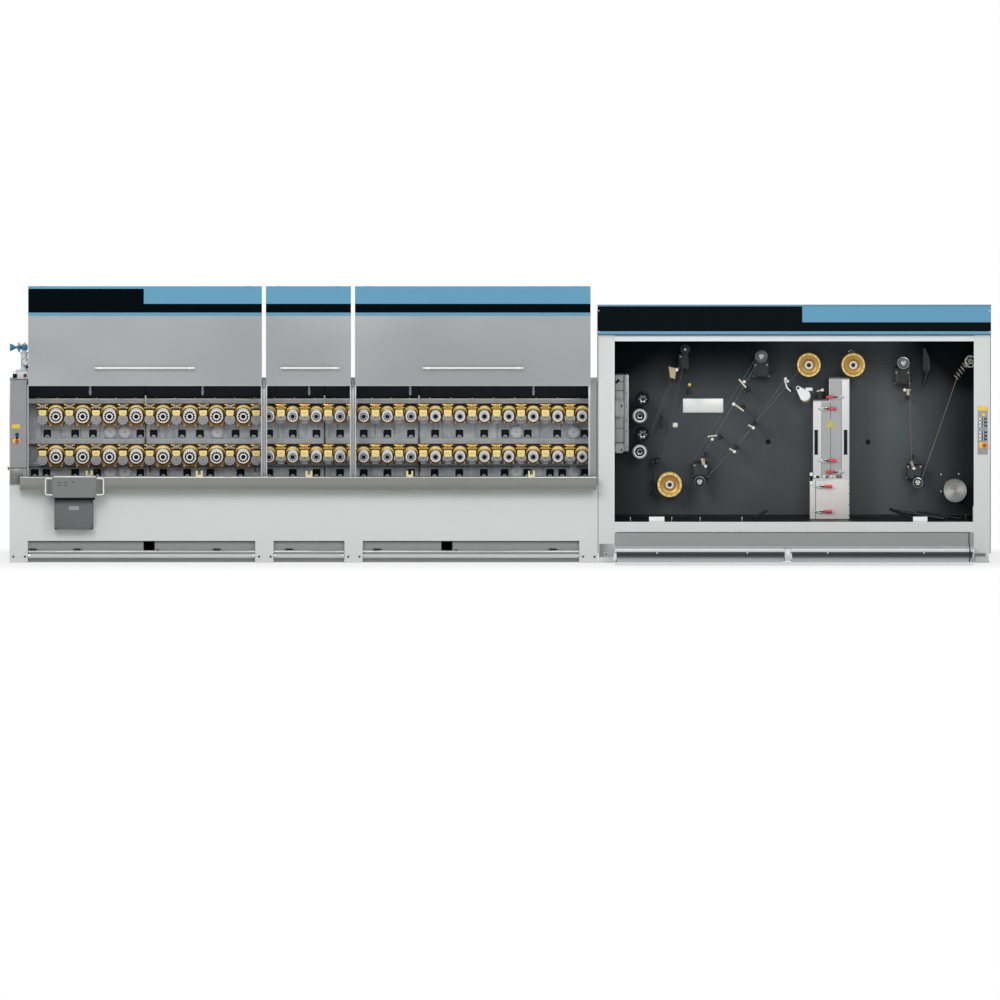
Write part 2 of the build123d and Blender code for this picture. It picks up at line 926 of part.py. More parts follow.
def annealer_base():
    """Closed base on two cross feet."""
    inner_left = annealer_left + annealer_post_width
    inner_right = annealer_right - annealer_post_width
    base = block(inner_left, inner_right, 0, annealer_post_depth, annealer_post_bottom, floor_top)
    base = base + block(annealer_left, annealer_right, annealer_post_depth, machine_depth,
                        annealer_post_bottom, floor_top)
    foot_end = annealer_right - annealer_foot_inset
    for x in (annealer_left + annealer_foot_inset, foot_end - annealer_foot_width):
        base = base + block(x, x + annealer_foot_width, 0, machine_depth, 0, annealer_post_bottom)
    return [base]


def annealer_roof():
    """Closed roof box over the annealer's cabinet."""
    return [block(annealer_left, annealer_right, header_back, machine_depth,
                  header_bottom, annealer_roof_top)]


def annealer_header():
    """Deep fascia across the front."""
    return [block(annealer_left, annealer_right, header_front, header_back, header_bottom, header_top)]


def annealer_back_panel():
    """Dark panel that carries the rollers and wheels."""
    x0 = annealer_left + side_wall
    x1 = annealer_right - side_wall
    return [block(x0, x1, panel_front, panel_front + panel_thickness, floor_top, header_bottom)]


def annealer_rear_housing():
    """Closed transformer and drive housing behind the panel."""
    x0 = annealer_left + side_wall
    x1 = annealer_right - side_wall
    return [block(x0, x1, panel_front + panel_thickness, machine_depth, floor_top, header_bottom)]


def shutter_bar():
    """End bar of the roller shutter, rolled up under the fascia."""
    x0 = annealer_left + annealer_post_width
    x1 = annealer_right - annealer_post_width
    bar = block(x0, x1, shutter_front, shutter_front + shutter_thickness,
                shutter_bottom, shutter_bottom + shutter_height)
    curtain_front = shutter_front + curtain_inset
    curtain = block(x0, x1, curtain_front, curtain_front + curtain_thickness,
                    shutter_bottom + shutter_height, header_bottom)
    return [bar + curtain]


def step_tread():
    """Folded tread with a nosing."""
    x0 = annealer_left + annealer_post_width + gusset_thickness
    x1 = annealer_right - annealer_post_width - gusset_thickness
    outline = (
        (-step_reach, step_top - step_nosing),
        (-step_reach, step_top),
        (0, step_top),
        (0, step_top - step_sheet),
        (-step_reach + step_sheet, step_top - step_sheet),
        (-step_reach + step_sheet, step_top - step_nosing),
    )
    return [along_x(outline, x0, x1)]


def step_frame():
    """Low floor plate with upright plates at both ends and in the middle that carry the tread."""
    x0 = annealer_left + annealer_post_width
    x1 = annealer_right - annealer_post_width
    frame = block(x0, x1, -floor_plate_reach, 0, 0, floor_plate_height)
    for a in (x0, x1 - gusset_thickness):
        frame = frame + block(a, a + gusset_thickness, -step_reach, 0, floor_plate_height, step_top)
    middle = block(middle_gusset_left, middle_gusset_left + middle_gusset_width,
                   -step_reach + middle_gusset_inset, 0, floor_plate_height, step_top - step_sheet)
    return [frame + middle]


def spindle(x, z, pin_radius, front, width):
    """Fixed spindle: a thick bearing case on the panel and a pin through the wheel."""
    back = front + width + running_gap
    case = rod(x, z, spindle_radius, back, panel_front)
    return case + rod(x, z, pin_radius, front - pin_end, back)


def spindles():
    """Spindles of the contact wheels, drum, spoked wheel and inlet rollers."""
    pieces = []
    for share, z, radius in contact_wheels + (outlet_drum_place,):
        pieces.append(spindle(across(share), z, wheel_pin_radius, wheel_front, wheel_width))
    share, z, radius = spoked_wheel_place
    pieces.append(spindle(across(share), z, sheave_pin_radius, wheel_front, sheave_width))
    for share, z, radius in rollers:
        pieces.append(spindle(across(share), z, sheave_pin_radius, wheel_front, roller_width))
    return pieces


def sheave_bracket(x, z):
    """Cast pedestal on the panel with the pin of its sheave."""
    front = wheel_front + sheave_width + running_gap
    head = bracket_head_radius
    foot = bracket_foot_width / 2
    bottom = z - bracket_drop
    outline = Polyline((x + head, 0, z), (x + head / 2, 0, z + head), (x - head / 2, 0, z + head),
                       (x - head, 0, z), (x - foot, 0, bottom), (x + foot, 0, bottom), close=True)
    plate = along_y(make_face(outline), front, front + bracket_thickness)
    shelf = block(x - foot, x + foot, front + bracket_thickness, panel_front,
                  bottom, bottom + bracket_shelf_height)
    return plate + shelf + rod(x, z, sheave_pin_radius, wheel_front - pin_end, front)


def sheave_brackets():
    """Pedestals of the guide sheaves."""
    return [sheave_bracket(across(share), z) for share, z, radius in sheaves]


def contact_wheel(share, z, radius):
    """Wheel with two flanges that slope down to a broad drum between them."""
    x = across(share)
    front = wheel_front
    back = wheel_front + wheel_width
    low = radius - wheel_groove
    slope_end = wheel_flange + wheel_groove
    sections = ((radius, front), (radius, front + wheel_flange), (low, front + slope_end),
                (low, back - slope_end), (radius, back - wheel_flange), (radius, back))
    wheel = stacked(x, z, wheel_sides, *sections)
    return wheel - bore(x, z, wheel_pin_radius, front, back)


def waisted(share, z, radius, width, waist, sides):
    """Turned roller or sheave that is thinner by its waist in the middle, with a bore for its pin."""
    x = across(share)
    middle = wheel_front + width / 2
    back = wheel_front + width
    body = stacked(x, z, sides, (radius, wheel_front), (radius - waist, middle), (radius, back))
    return body - bore(x, z, sheave_pin_radius, wheel_front, back)


def outlet_drum():
    """Plain steel drum at the outlet, with a bevelled front edge."""
    share, z, radius = outlet_drum_place
    x = across(share)
    back = wheel_front + wheel_width
    drum = stacked(x, z, wheel_sides, (radius - drum_edge, wheel_front), (radius, wheel_front + drum_edge),
                   (radius, back))
    return drum - bore(x, z, wheel_pin_radius, wheel_front, back)


def spoked_wheel():
    """Light wheel with a rim, a hub and spokes."""
    share, z, radius = spoked_wheel_place
    x = across(share)
    back = wheel_front + sheave_width
    rim_inner = radius - rim_thickness
    rim_front = wheel_front + rim_inset
    rim_back = back - rim_inset
    rim = rod(x, z, radius, rim_front, rim_back, wheel_sides)
    wheel = rim - rod(x, z, rim_inner, rim_front, rim_back, wheel_sides)
    wheel = wheel + rod(x, z, hub_radius, wheel_front, back)
    spoke = block(hub_radius / 2, rim_inner + spoke_bite, wheel_front + spoke_inset, back - spoke_inset,
                  -spoke_width / 2, spoke_width / 2)
    for i in range(spoke_count):
        wheel = wheel + Pos(x, 0, z) * Rot(0, 360 / spoke_count * i, 0) * spoke
    return wheel - bore(x, z, sheave_pin_radius, wheel_front, back)


def annealing_column():
    """Upright casing of the annealing tubes on its foot box."""
    high = block(column_middle, column_right, column_front, panel_front, column_foot_top, column_high_top)
    low = block(column_left, column_middle, column_front, panel_front, column_foot_top, column_low_top)
    foot = block(column_foot_left, column_right, column_front, panel_front, floor_top, column_foot_top)
    column = high + low + foot
    for x in (column_left + slot_inset, column_right - slot_inset - slot_width):
        column = column - block(x, x + slot_width, column_front, column_front + slot_depth,
                                slot_bottom, slot_top)
    return [column]


def toggle_clamp(x, z, side):
    """Square hub with a flat lever to one side."""
    half = clamp_hub_width / 2
    lever = clamp_lever_width / 2
    front = column_front - clamp_reach
    hub = block(x - half, x + half, front, column_front, z - half, z + half)
    arm = block(x + side * half, x + side * (half + clamp_lever_length), front,
                front + clamp_lever_width, z - lever, z + lever)
    return hub + arm


def toggle_clamps():
    """Toggle clamps that hold the column's doors shut."""
    return [toggle_clamp(across(share), z, side) for share, z, side in clamps]


def tension_lever():
    """Teardrop lever beside the first contact wheel, on its own stud."""
    share, z = lever_place
    x = across(share)
    tip_z = z + lever_rise
    head = lever_head_radius
    tip = lever_tip_radius
    bottom = ThreePointArc((x - head, 0, z), (x, 0, z - head), (x + head, 0, z))
    top = ThreePointArc((x + tip, 0, tip_z), (x, 0, tip_z + tip), (x - tip, 0, tip_z))
    right = Line((x + head, 0, z), (x + tip, 0, tip_z))
    left = Line((x - tip, 0, tip_z), (x - head, 0, z))
    back = lever_front + lever_thickness
    plate = along_y(outline_face(bottom, right, top, left), lever_front, back)
    return plate + rod(x, z, lever_stud_radius, back, panel_front)


def entry_unit():
    """Guide box at the inlet side, on the left wall, with two blocks on its front."""
    left = annealer_left + side_wall
    front = panel_front - entry_depth
    body = block(left, entry_right, front, panel_front, entry_bottom, entry_top)
    for z0, z1 in entry_block_heights:
        body = body + block(entry_block_left, entry_block_right, front - entry_block_reach, front, z0, z1)
    return [body]


def wire_guide(x, z, length):
    """Stud on the panel with a cross bar at its end."""
    half = wire_guide_bar / 2
    back = wire_guide_front + wire_guide_bar
    stud = rod(x, z, wire_guide_stud_radius, back, panel_front, thin_rod_sides)
    return stud + block(x - length / 2, x + length / 2, wire_guide_front, back, z - half, z + half)


def wire_guides():
    """Guide arms on the panel and the tension lever."""
    guides = [wire_guide(across(share), z, length) for share, z, length in wire_guide_places]
    return guides + [tension_lever()]


os.makedirs("parts", exist_ok=True)
save("base_feet", base_feet())
save("drawing_base", drawing_base())
save("skirting", skirting())
save("forklift_pockets", forklift_pockets())
save("sill_tray", sill_tray())
save("door_posts", door_posts())
save("guide_strips", guide_strips())
save("gear_cases", gear_cases())
save("chamber_back_panels", chamber_back_panels())
save("chamber_roof", chamber_roof())
save("drive_housing", drive_housing())
save("rear_covers", rear_covers())
save("capstan_guards", capstan_guards())
save("capstan_rings", capstan_rings())
save("die_holders", die_holders())
save("spray_nozzles", spray_nozzles())
save("fork_clips", fork_clips())
save("door_guides", door_guides())
for number, (edges, span) in enumerate(zip(door_edges(), handle_spans), start=1):
    save(f"door_{number}", [door(*edges)])
    save(f"door_handle_{number}", [door_handle(*span)])
save("operator_console", operator_console())
save("junction_box", junction_box())
save("water_valve", water_valve())
save("liquid_pipe", liquid_pipe())
save("control_buttons", control_buttons())
save("annealer_uprights", annealer_uprights())
save("annealer_base", annealer_base())
save("annealer_roof", annealer_roof())
save("annealer_header", annealer_header())
save("annealer_back_panel", annealer_back_panel())
save("annealer_rear_housing", annealer_rear_housing())
save("shutter_bar", shutter_bar())
save("step_tread", step_tread())
save("step_frame", step_frame())
save("spindles", spindles())
save("sheave_brackets", sheave_brackets())
save("annealing_column", annealing_column())
save("toggle_clamps", toggle_clamps())
save("entry_unit", entry_unit())
save("wire_guides", wire_guides())
for number, place in enumerate(contact_wheels, start=1):
    save(f"contact_wheel_{number}", [contact_wheel(*place)])
save("outlet_drum", [outlet_drum()])
save("spoked_wheel", [spoked_wheel()])
for number, place in enumerate(sheaves, start=1):
    save(f"guide_sheave_{number}", [waisted(*place, sheave_width, sheave_groove, roller_sides)])
for number, place in enumerate(rollers, start=1):
    save(f"inlet_roller_{number}", [waisted(*place, roller_width, roller_groove, roller_sides)])
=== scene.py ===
"""Wire drawing machine with its annealer: finishes, fine detail, light and camera.

Places are written in millimetres as on the shop drawing: x from the drawing machine's left end,
y back from its front panels, z up from the floor. at() turns them into the frame's metres.
"""

import json
from math import atan2, cos, pi, radians, sin

import bmesh
import bpy
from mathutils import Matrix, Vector

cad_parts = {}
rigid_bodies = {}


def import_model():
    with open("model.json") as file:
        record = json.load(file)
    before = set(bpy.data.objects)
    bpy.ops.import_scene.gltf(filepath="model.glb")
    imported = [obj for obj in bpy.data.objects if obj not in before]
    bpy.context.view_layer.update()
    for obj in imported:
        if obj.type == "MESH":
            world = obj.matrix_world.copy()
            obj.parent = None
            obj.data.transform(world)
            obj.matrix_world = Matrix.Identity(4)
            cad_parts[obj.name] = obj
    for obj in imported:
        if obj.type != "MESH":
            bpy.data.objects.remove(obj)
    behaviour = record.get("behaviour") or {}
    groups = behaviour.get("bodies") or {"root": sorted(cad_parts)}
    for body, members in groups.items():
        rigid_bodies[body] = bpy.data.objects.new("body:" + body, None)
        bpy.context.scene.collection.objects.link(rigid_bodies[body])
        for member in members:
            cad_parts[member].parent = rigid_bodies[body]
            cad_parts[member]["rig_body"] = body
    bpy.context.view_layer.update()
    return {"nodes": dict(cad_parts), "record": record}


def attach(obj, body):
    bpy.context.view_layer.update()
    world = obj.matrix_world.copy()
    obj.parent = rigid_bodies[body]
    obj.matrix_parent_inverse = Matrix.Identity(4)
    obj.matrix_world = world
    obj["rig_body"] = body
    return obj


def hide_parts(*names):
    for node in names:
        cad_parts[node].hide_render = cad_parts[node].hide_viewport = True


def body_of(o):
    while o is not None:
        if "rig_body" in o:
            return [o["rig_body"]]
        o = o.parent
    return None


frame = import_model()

# Origin of the shop drawing, seen from the frame's own origin
ORIGIN_X = 4407
ORIGIN_Y = 586

# Drawing machine: capstan axes and the depths of the planes behind each other
ROWS = (1310, 945)
KINDS = (
    # start, pitch, count, ring radius, guard width, guard rise, guard drop
    (415.9, 241.01, 8, 59, 160, 98, 96),
    (2334.9, 212.99, 7, 48, 128, 88, 66),
    (3834.1, 220.02, 7, 47, 130, 92, 66),
)
FIRST_KIND_END = 2220
RING_FRONT = 130
GUARD_FRONT = 230
WALL_FRONT = 350
CASE_SEAMS = (1222, 2291, 2835, 3685)
PANEL_TOP = 1604
SKIRTS = ((164, 2212), (2376, 3015), (3179, 5128))

# Back panel of the annealer's cabinet
BACK = 700


def at(x, y, z):
    """A place on the shop drawing as a point in the frame, in metres."""
    return Vector(((x - ORIGIN_X) / 1000, (y - ORIGIN_Y) / 1000, z / 1000))


def around(count, start=0.0, sweep=2 * pi):
    """Cosine and sine of evenly spaced angles."""
    angles = [start + sweep * i / count for i in range(count if sweep == 2 * pi else count + 1)]
    return [(cos(a), sin(a)) for a in angles]


def added(name, data):
    """An object with this data, put into the scene."""
    obj = bpy.data.objects.new(name, data)
    bpy.context.scene.collection.objects.link(obj)
    return obj


def pointed(obj, place, along):
    """Sets a camera or lamp at a place, looking along a direction."""
    obj.location = place
    obj.rotation_mode = "QUATERNION"
    obj.rotation_quaternion = along.to_track_quat("-Z", "Y")


# Trees of nodes


def by(operation):
    """A method that runs one Math node."""
    return lambda value, *others: value.maths(operation, *others)


class Value:
    """A value inside a tree, so that sums and products of values read as plain maths."""

    def __init__(self, tree, socket):
        self.tree = tree
        self.socket = socket

    def maths(self, operation, *others):
        """The result of one Math node on this value and others."""
        return self.tree.node("ShaderNodeMath", (self, *others), operation=operation)

    __add__ = __radd__ = by("ADD")
    __mul__ = __rmul__ = by("MULTIPLY")
    __sub__ = by("SUBTRACT")
    __truediv__ = by("DIVIDE")
    __gt__ = by("GREATER_THAN")
    __lt__ = by("LESS_THAN")
    __abs__ = by("ABSOLUTE")
    __pow__ = by("POWER")
    either = by("MAXIMUM")

    def __rsub__(self, other):
        return self * -1 + other

    def other(self, name):
        """Another output of this value's node."""
        return Value(self.tree, self.socket.node.outputs[name])

    def clamped(self):
        """This value kept between 0 and 1."""
        return self.tree.node("ShaderNodeClamp", (self,))

    def between(self, low, high):
        """1 where this value lies between low and high, else 0."""
        return (self > low) * (self < high)

    def ramp(self, low, high):
        """This value mapped so that low gives 0 and high gives 1, smoothly."""
        return self.tree.node("ShaderNodeMapRange", {"Value": self, "From Min": low, "From Max": high},
                              interpolation_type="SMOOTHSTEP")


class Nodes:
    """A tree of nodes."""

    def __init__(self, tree):
        self.tree = tree
        tree.nodes.clear()

    def node(self, kind, sockets=(), output=0, **settings):
        """Adds a node, sets it, fills or links its sockets, and gives one of its outputs."""
        node = self.tree.nodes.new(kind if "Node" in kind else "GeometryNode" + kind)
        for key, value in settings.items():
            setattr(node, key, value)
        for key, values in sockets.items() if isinstance(sockets, dict) else enumerate(sockets):
            for value in values if isinstance(values, list) else [values]:
                if isinstance(value, Value):
                    self.tree.links.new(value.socket, node.inputs[key])
                else:
                    node.inputs[key].default_value = value
        return Value(self, node.outputs[output])

    def end(self, kind, socket, value):
        """Ends the tree with a value."""
        self.tree.links.new(value.socket, self.tree.nodes.new(kind).inputs[socket])


# Finishes


def srgb(r, g, b):
    """A screen colour as the linear colour that a shader takes."""
    steps = [c / 255 for c in (r, g, b)]
    return tuple(c / 12.92 if c < 0.04045 else ((c + 0.055) / 1.055) ** 2.4 for c in steps) + (1,)


def shade(colour, share):
    """A colour made darker or lighter."""
    return tuple(min(1, c * share) for c in colour[:3]) + (1,)


class Finish(Nodes):
    """One material, with the nodes that give it colour, grain and wear."""

    def __init__(self, name):
        self.material = bpy.data.materials.new(name)
        self.material.use_nodes = True
        super().__init__(self.material.node_tree)
        self.place = self.node("ShaderNodeTexCoord", output="Object")
        split = self.node("ShaderNodeSeparateXYZ", (self.place,))
        self.axes = [split.other(i) for i in range(3)]

    def noise(self, scale, detail=3, rough=0.5, distort=0.0):
        """Noise from 0 to 1, with its own scale along each axis."""
        spread = self.node("ShaderNodeVectorMath", (self.place, scale), operation="MULTIPLY")
        return self.node("ShaderNodeTexNoise", {"Vector": spread, "Scale": 1.0, "Detail": detail,
                                                "Roughness": rough, "Distortion": distort})

    def mix(self, share, low, high):
        """Colour between low and high."""
        return self.node("ShaderNodeMix", {0: share, 6: low, 7: high}, 2, data_type="RGBA")

    def layered(self, tone, change):
        """The tone with a finish's own layers of (share, red, green, blue) laid over it."""
        for share, *colour in change(self, *self.axes) if change else ():
            tone = self.mix(share, tone, srgb(*colour))
        return tone

    def surface(self, colour, rough, metal, height, strength, depth, coat=0.0, gloss=0.5):
        """Ends the finish with its shader, and with bumps of a height up to depth in metres."""
        bump = self.node("ShaderNodeBump", {"Strength": strength, "Distance": depth, "Height": height})
        shader = self.node("ShaderNodeBsdfPrincipled", {
            "Base Color": colour, "Roughness": rough, "Metallic": metal, "Normal": bump, "Coat Weight": coat,
            "Specular IOR Level": gloss})
        self.end("ShaderNodeOutputMaterial", "Surface", shader)
        return self.material


def painted(name, colour, rough=0.42, dirt=0.10, peel=0.0005, change=None, gloss=0.4):
    """Sprayed paint: faint cloudiness, orange peel, and dust that gathers near the floor."""
    f = Finish(name)
    cloud = f.noise((1.3, 1.3, 2.1), 4, 0.6)
    streak = f.noise((9, 9, 0.9), 4, 0.6)
    dust = (1 - f.axes[2].ramp(0.0, 0.35)) * (streak * 0.65 + 0.35)
    tone = f.layered(f.mix(cloud, shade(colour, 0.96), shade(colour, 1.04)), change)
    tone = f.mix((dust * dirt * 3).clamped(), tone, shade(colour, 0.72))
    return f.surface(tone, cloud * 0.12 + (rough - 0.06) + dust * 0.1, 0.0, f.noise((420, 420, 420), 2),
                     0.25, peel, 0.0, gloss)


def brushed(name, colour, along="x", rough=0.36, metal=1.0, spread=0.09, change=None):
    """Brushed sheet: fine lines along one axis, with slow changes in sheen."""
    f = Finish(name)
    lines = f.noise({"x": (6, 500, 900), "z": (900, 500, 6), "y": (900, 6, 900)}[along], 3, 0.65)
    cloud = f.noise((0.9, 0.9, 1.6), 3)
    tone = f.mix(lines * 0.7 + cloud * 0.3, shade(colour, 1 - spread), shade(colour, 1 + spread))
    if callable(metal):
        metal = metal(*f.axes)
    return f.surface(f.layered(tone, change), lines * 0.14 + (rough - 0.07) + cloud * 0.04, metal, lines,
                     0.12, 0.0004)


def polished(name, colour, rough=0.25, metal=1.0, spots=0.12):
    """Turned or cast metal: fine grain with darker patches of handling."""
    f = Finish(name)
    grain = f.noise((260, 260, 260), 3)
    patch = f.noise((22, 22, 22), 3, 0.6)
    tone = f.mix(patch * 0.6 + grain * 0.4, shade(colour, 1 - spots), shade(colour, 1 + spots))
    return f.surface(tone, patch * 0.15 + (rough - 0.05), metal, grain, 0.15, 0.0003)


def plastic(name, colour, rough=0.38, coat=0.0, gloss=0.4):
    """Moulded plastic: fine grain and a slight change of gloss."""
    f = Finish(name)
    wear = f.noise((30, 30, 30), 3)
    tone = f.mix(wear, shade(colour, 0.93), shade(colour, 1.05))
    return f.surface(tone, wear * 0.12 + (rough - 0.05), 0.0, f.noise((700, 700, 700), 2),
                     0.2, 0.0002, coat, gloss)


# Colours of the bands, and places for the layers below, which are in the frame's metres
BLUE = (98, 153, 182)
BAND_BLACK = (8, 15, 18)
DOOR_FACE = -0.6597
FASCIA_FACE = -0.6
LOWER_AXIS = 0.945
ROW_DROP = 0.365
BETWEEN_ROWS = 1.13
DRUM_X, DRUM_Z = 4.111, 0.617


def door_black(x, y, z):
    """1 on the black band of the doors' outer face, which covers the left end of the first one."""
    return z.between(2.262, 2.341).either((x < -3.196) * z.between(2.262, 2.477)) * (y < DOOR_FACE)


def door_metal(x, y, z):
    """How metallic the doors are: their black band is a dull film."""
    return door_black(x, y, z) * 0.25 + 0.75


def door_bands(f, x, y, z):
    """Blue and black bands along the top of the doors' outer face."""
    sheen = f.noise((0.55, 1.0, 0.8), 2)
    # Soft lighter patches: painted sheen. Lighter strip below z 1.606, along the bottom edge: painted
    # highlight.
    return ((sheen.ramp(0.35, 0.75) * 0.35, 206, 208, 207), (z < 1.606, 190, 191, 190),
            ((z > 2.232) * (y < DOOR_FACE), *BLUE), (door_black(x, y, z), *BAND_BLACK))


def header_bands(f, x, y, z):
    """Blue and black bands of the annealer's fascia, all blue at its right end."""
    dark = z.between(2.090, 2.172).either((1 - (x > 2.727)) * z.between(2.090, 2.318))
    # The dark line along the lower edge of the fascia's face, from 2.054 to 2.064: painted shade.
    return ((z > 2.056, *BLUE), (z.between(2.054, 2.064) * (y < FASCIA_FACE), 44, 66, 80),
            (dark * (y < FASCIA_FACE), *BAND_BLACK))


def cast_marks_and_shade(f, x, y, z):
    """Cast and washed-down gear cases: blotches, drips, scratches, painted shade under the ledges, painted
    light on them.
    """
    blot = f.noise((7, 7, 7), 5, 0.7, 0.6)
    drip = f.noise((34, 20, 2.2), 4, 0.7)
    scratch = f.noise((3, 60, 90), 3, 0.6)
    # under: painted shade beneath each ledge. ledge and the band from 1.414 to 1.47: painted light on the
    # ledges. Below 0.76: near-black painted shade low behind the sill.
    under = (z.ramp(1.30, 1.414) * (z < 1.414) + z.ramp(0.98, 1.05) * (z < 1.05)
             + z.ramp(0.82, 0.843) * (z < 0.843) * 0.4)
    ledge = z.between(1.05, 1.10).either(z.between(0.843, 0.881))
    return ((blot.ramp(0.42, 0.62) * 0.7, 138, 142, 146), (drip.ramp(0.56, 0.72) * 0.6, 214, 216, 218),
            (drip.ramp(0.46, 0.32) * 0.5, 98, 101, 105), (scratch.ramp(0.62, 0.75) * 0.4, 214, 216, 218),
            (under.clamped() * 0.4, 84, 87, 91), (ledge * 0.75, 152, 154, 158),
            (z.between(1.414, 1.47) * 0.85, 196, 197, 200), ((z < 0.76) * 0.8, 30, 31, 34))


def wall_shade_and_light(f, x, y, z):
    """The cabinet's back panel: painted shade towards its ends and the corners of its top, painted light in its
    middle.
    """
    middle = x.ramp(2.15, 2.75) * x.ramp(3.85, 3.45)
    high = z.ramp(1.35, 1.95) * (1 - middle * 0.7)
    ends = x.ramp(1.55, 0.95) * 0.55 + x.ramp(3.75, 4.25) * 0.75
    cloud = f.noise((1.6, 1.6, 1.6), 4, 0.6)
    return ((cloud.ramp(0.3, 0.75) * 0.5, 90, 95, 97),
            (x.ramp(3.0, 3.25) * x.ramp(3.9, 3.5) * 0.5, 100, 105, 106),
            ((high * 0.97 + ends).clamped() * 0.98, 2, 4, 7))


def gold_painted_light(f, x, y, z):
    """Gold with a painted highlight on the crown of each row and painted shade, brown, on the flanks and foot.
    """
    above = z - LOWER_AXIS - (z > BETWEEN_ROWS) * ROW_DROP
    return (above.ramp(0.04, 0.075), 246, 222, 140), (above.ramp(0.035, -0.04) * 0.8, 130, 92, 54)


def ring_wear(f, x, y, z):
    """Grey working marks on the rings."""
    return ((f.noise((90, 90, 90), 3, 0.6).ramp(0.52, 0.7) * 0.4, 176, 178, 180),)


def base_shade(f, x, y, z):
    """Black cabinet floor inside the annealer, painted shade on the set-back riser, painted base elsewhere."""
    riser = z.between(0.147, 0.274) * x.between(1.037, 4.273) * (y < -0.5)
    return (riser, 146, 150, 149), ((z > 0.3685) * (y > -0.575), 8, 9, 12)


def sill_streaks_and_shade(f, x, y, z):
    """Long soft streaks on the folded sill, and painted shade on its lower half."""
    streak = f.noise((1.1, 3, 14), 4, 0.6)
    return (streak.ramp(0.35, 0.7) * 0.5, 150, 150, 148), (z.ramp(0.74, 0.68) * 0.35, 96, 97, 96)


def strip_fade(f, x, y, z):
    """The posts' strips: brighter beside the doors, duller on the left column."""
    return (z.ramp(1.45, 1.6), 232, 234, 234), ((x < -4.2) * 0.8, 166, 171, 171)


def under_step_shade(f, x, y, z):
    """Deep shade under the step, lighter near the floor plate."""
    return ((z.ramp(0.04, 0.085), 58, 60, 61),)


def foot_shade(f, x, y, z):
    """Painted shade on the set-back face of a foot, darker towards its left, and on the strips under the floor
    pipes.
    """
    return ((x.ramp(1.02, 0.91) * 0.7, 92, 95, 95),)


def turned_dish(f, x, y, z):
    """Fine turning marks of the gold wheels."""
    return ((f.noise((160, 160, 160), 3).ramp(0.4, 0.7) * 0.5, 188, 142, 72),)


def drum_sheen(f, x, y, z):
    """Painted highlight: two bright fans on the turned face of the drum."""
    angle = (z - DRUM_Z).maths("ARCTAN2", x - DRUM_X)
    return ((((angle * 2 + 1.1).maths("SINE") * 0.5 + 0.5) ** 2.0 * 0.7, 206, 206, 202),)


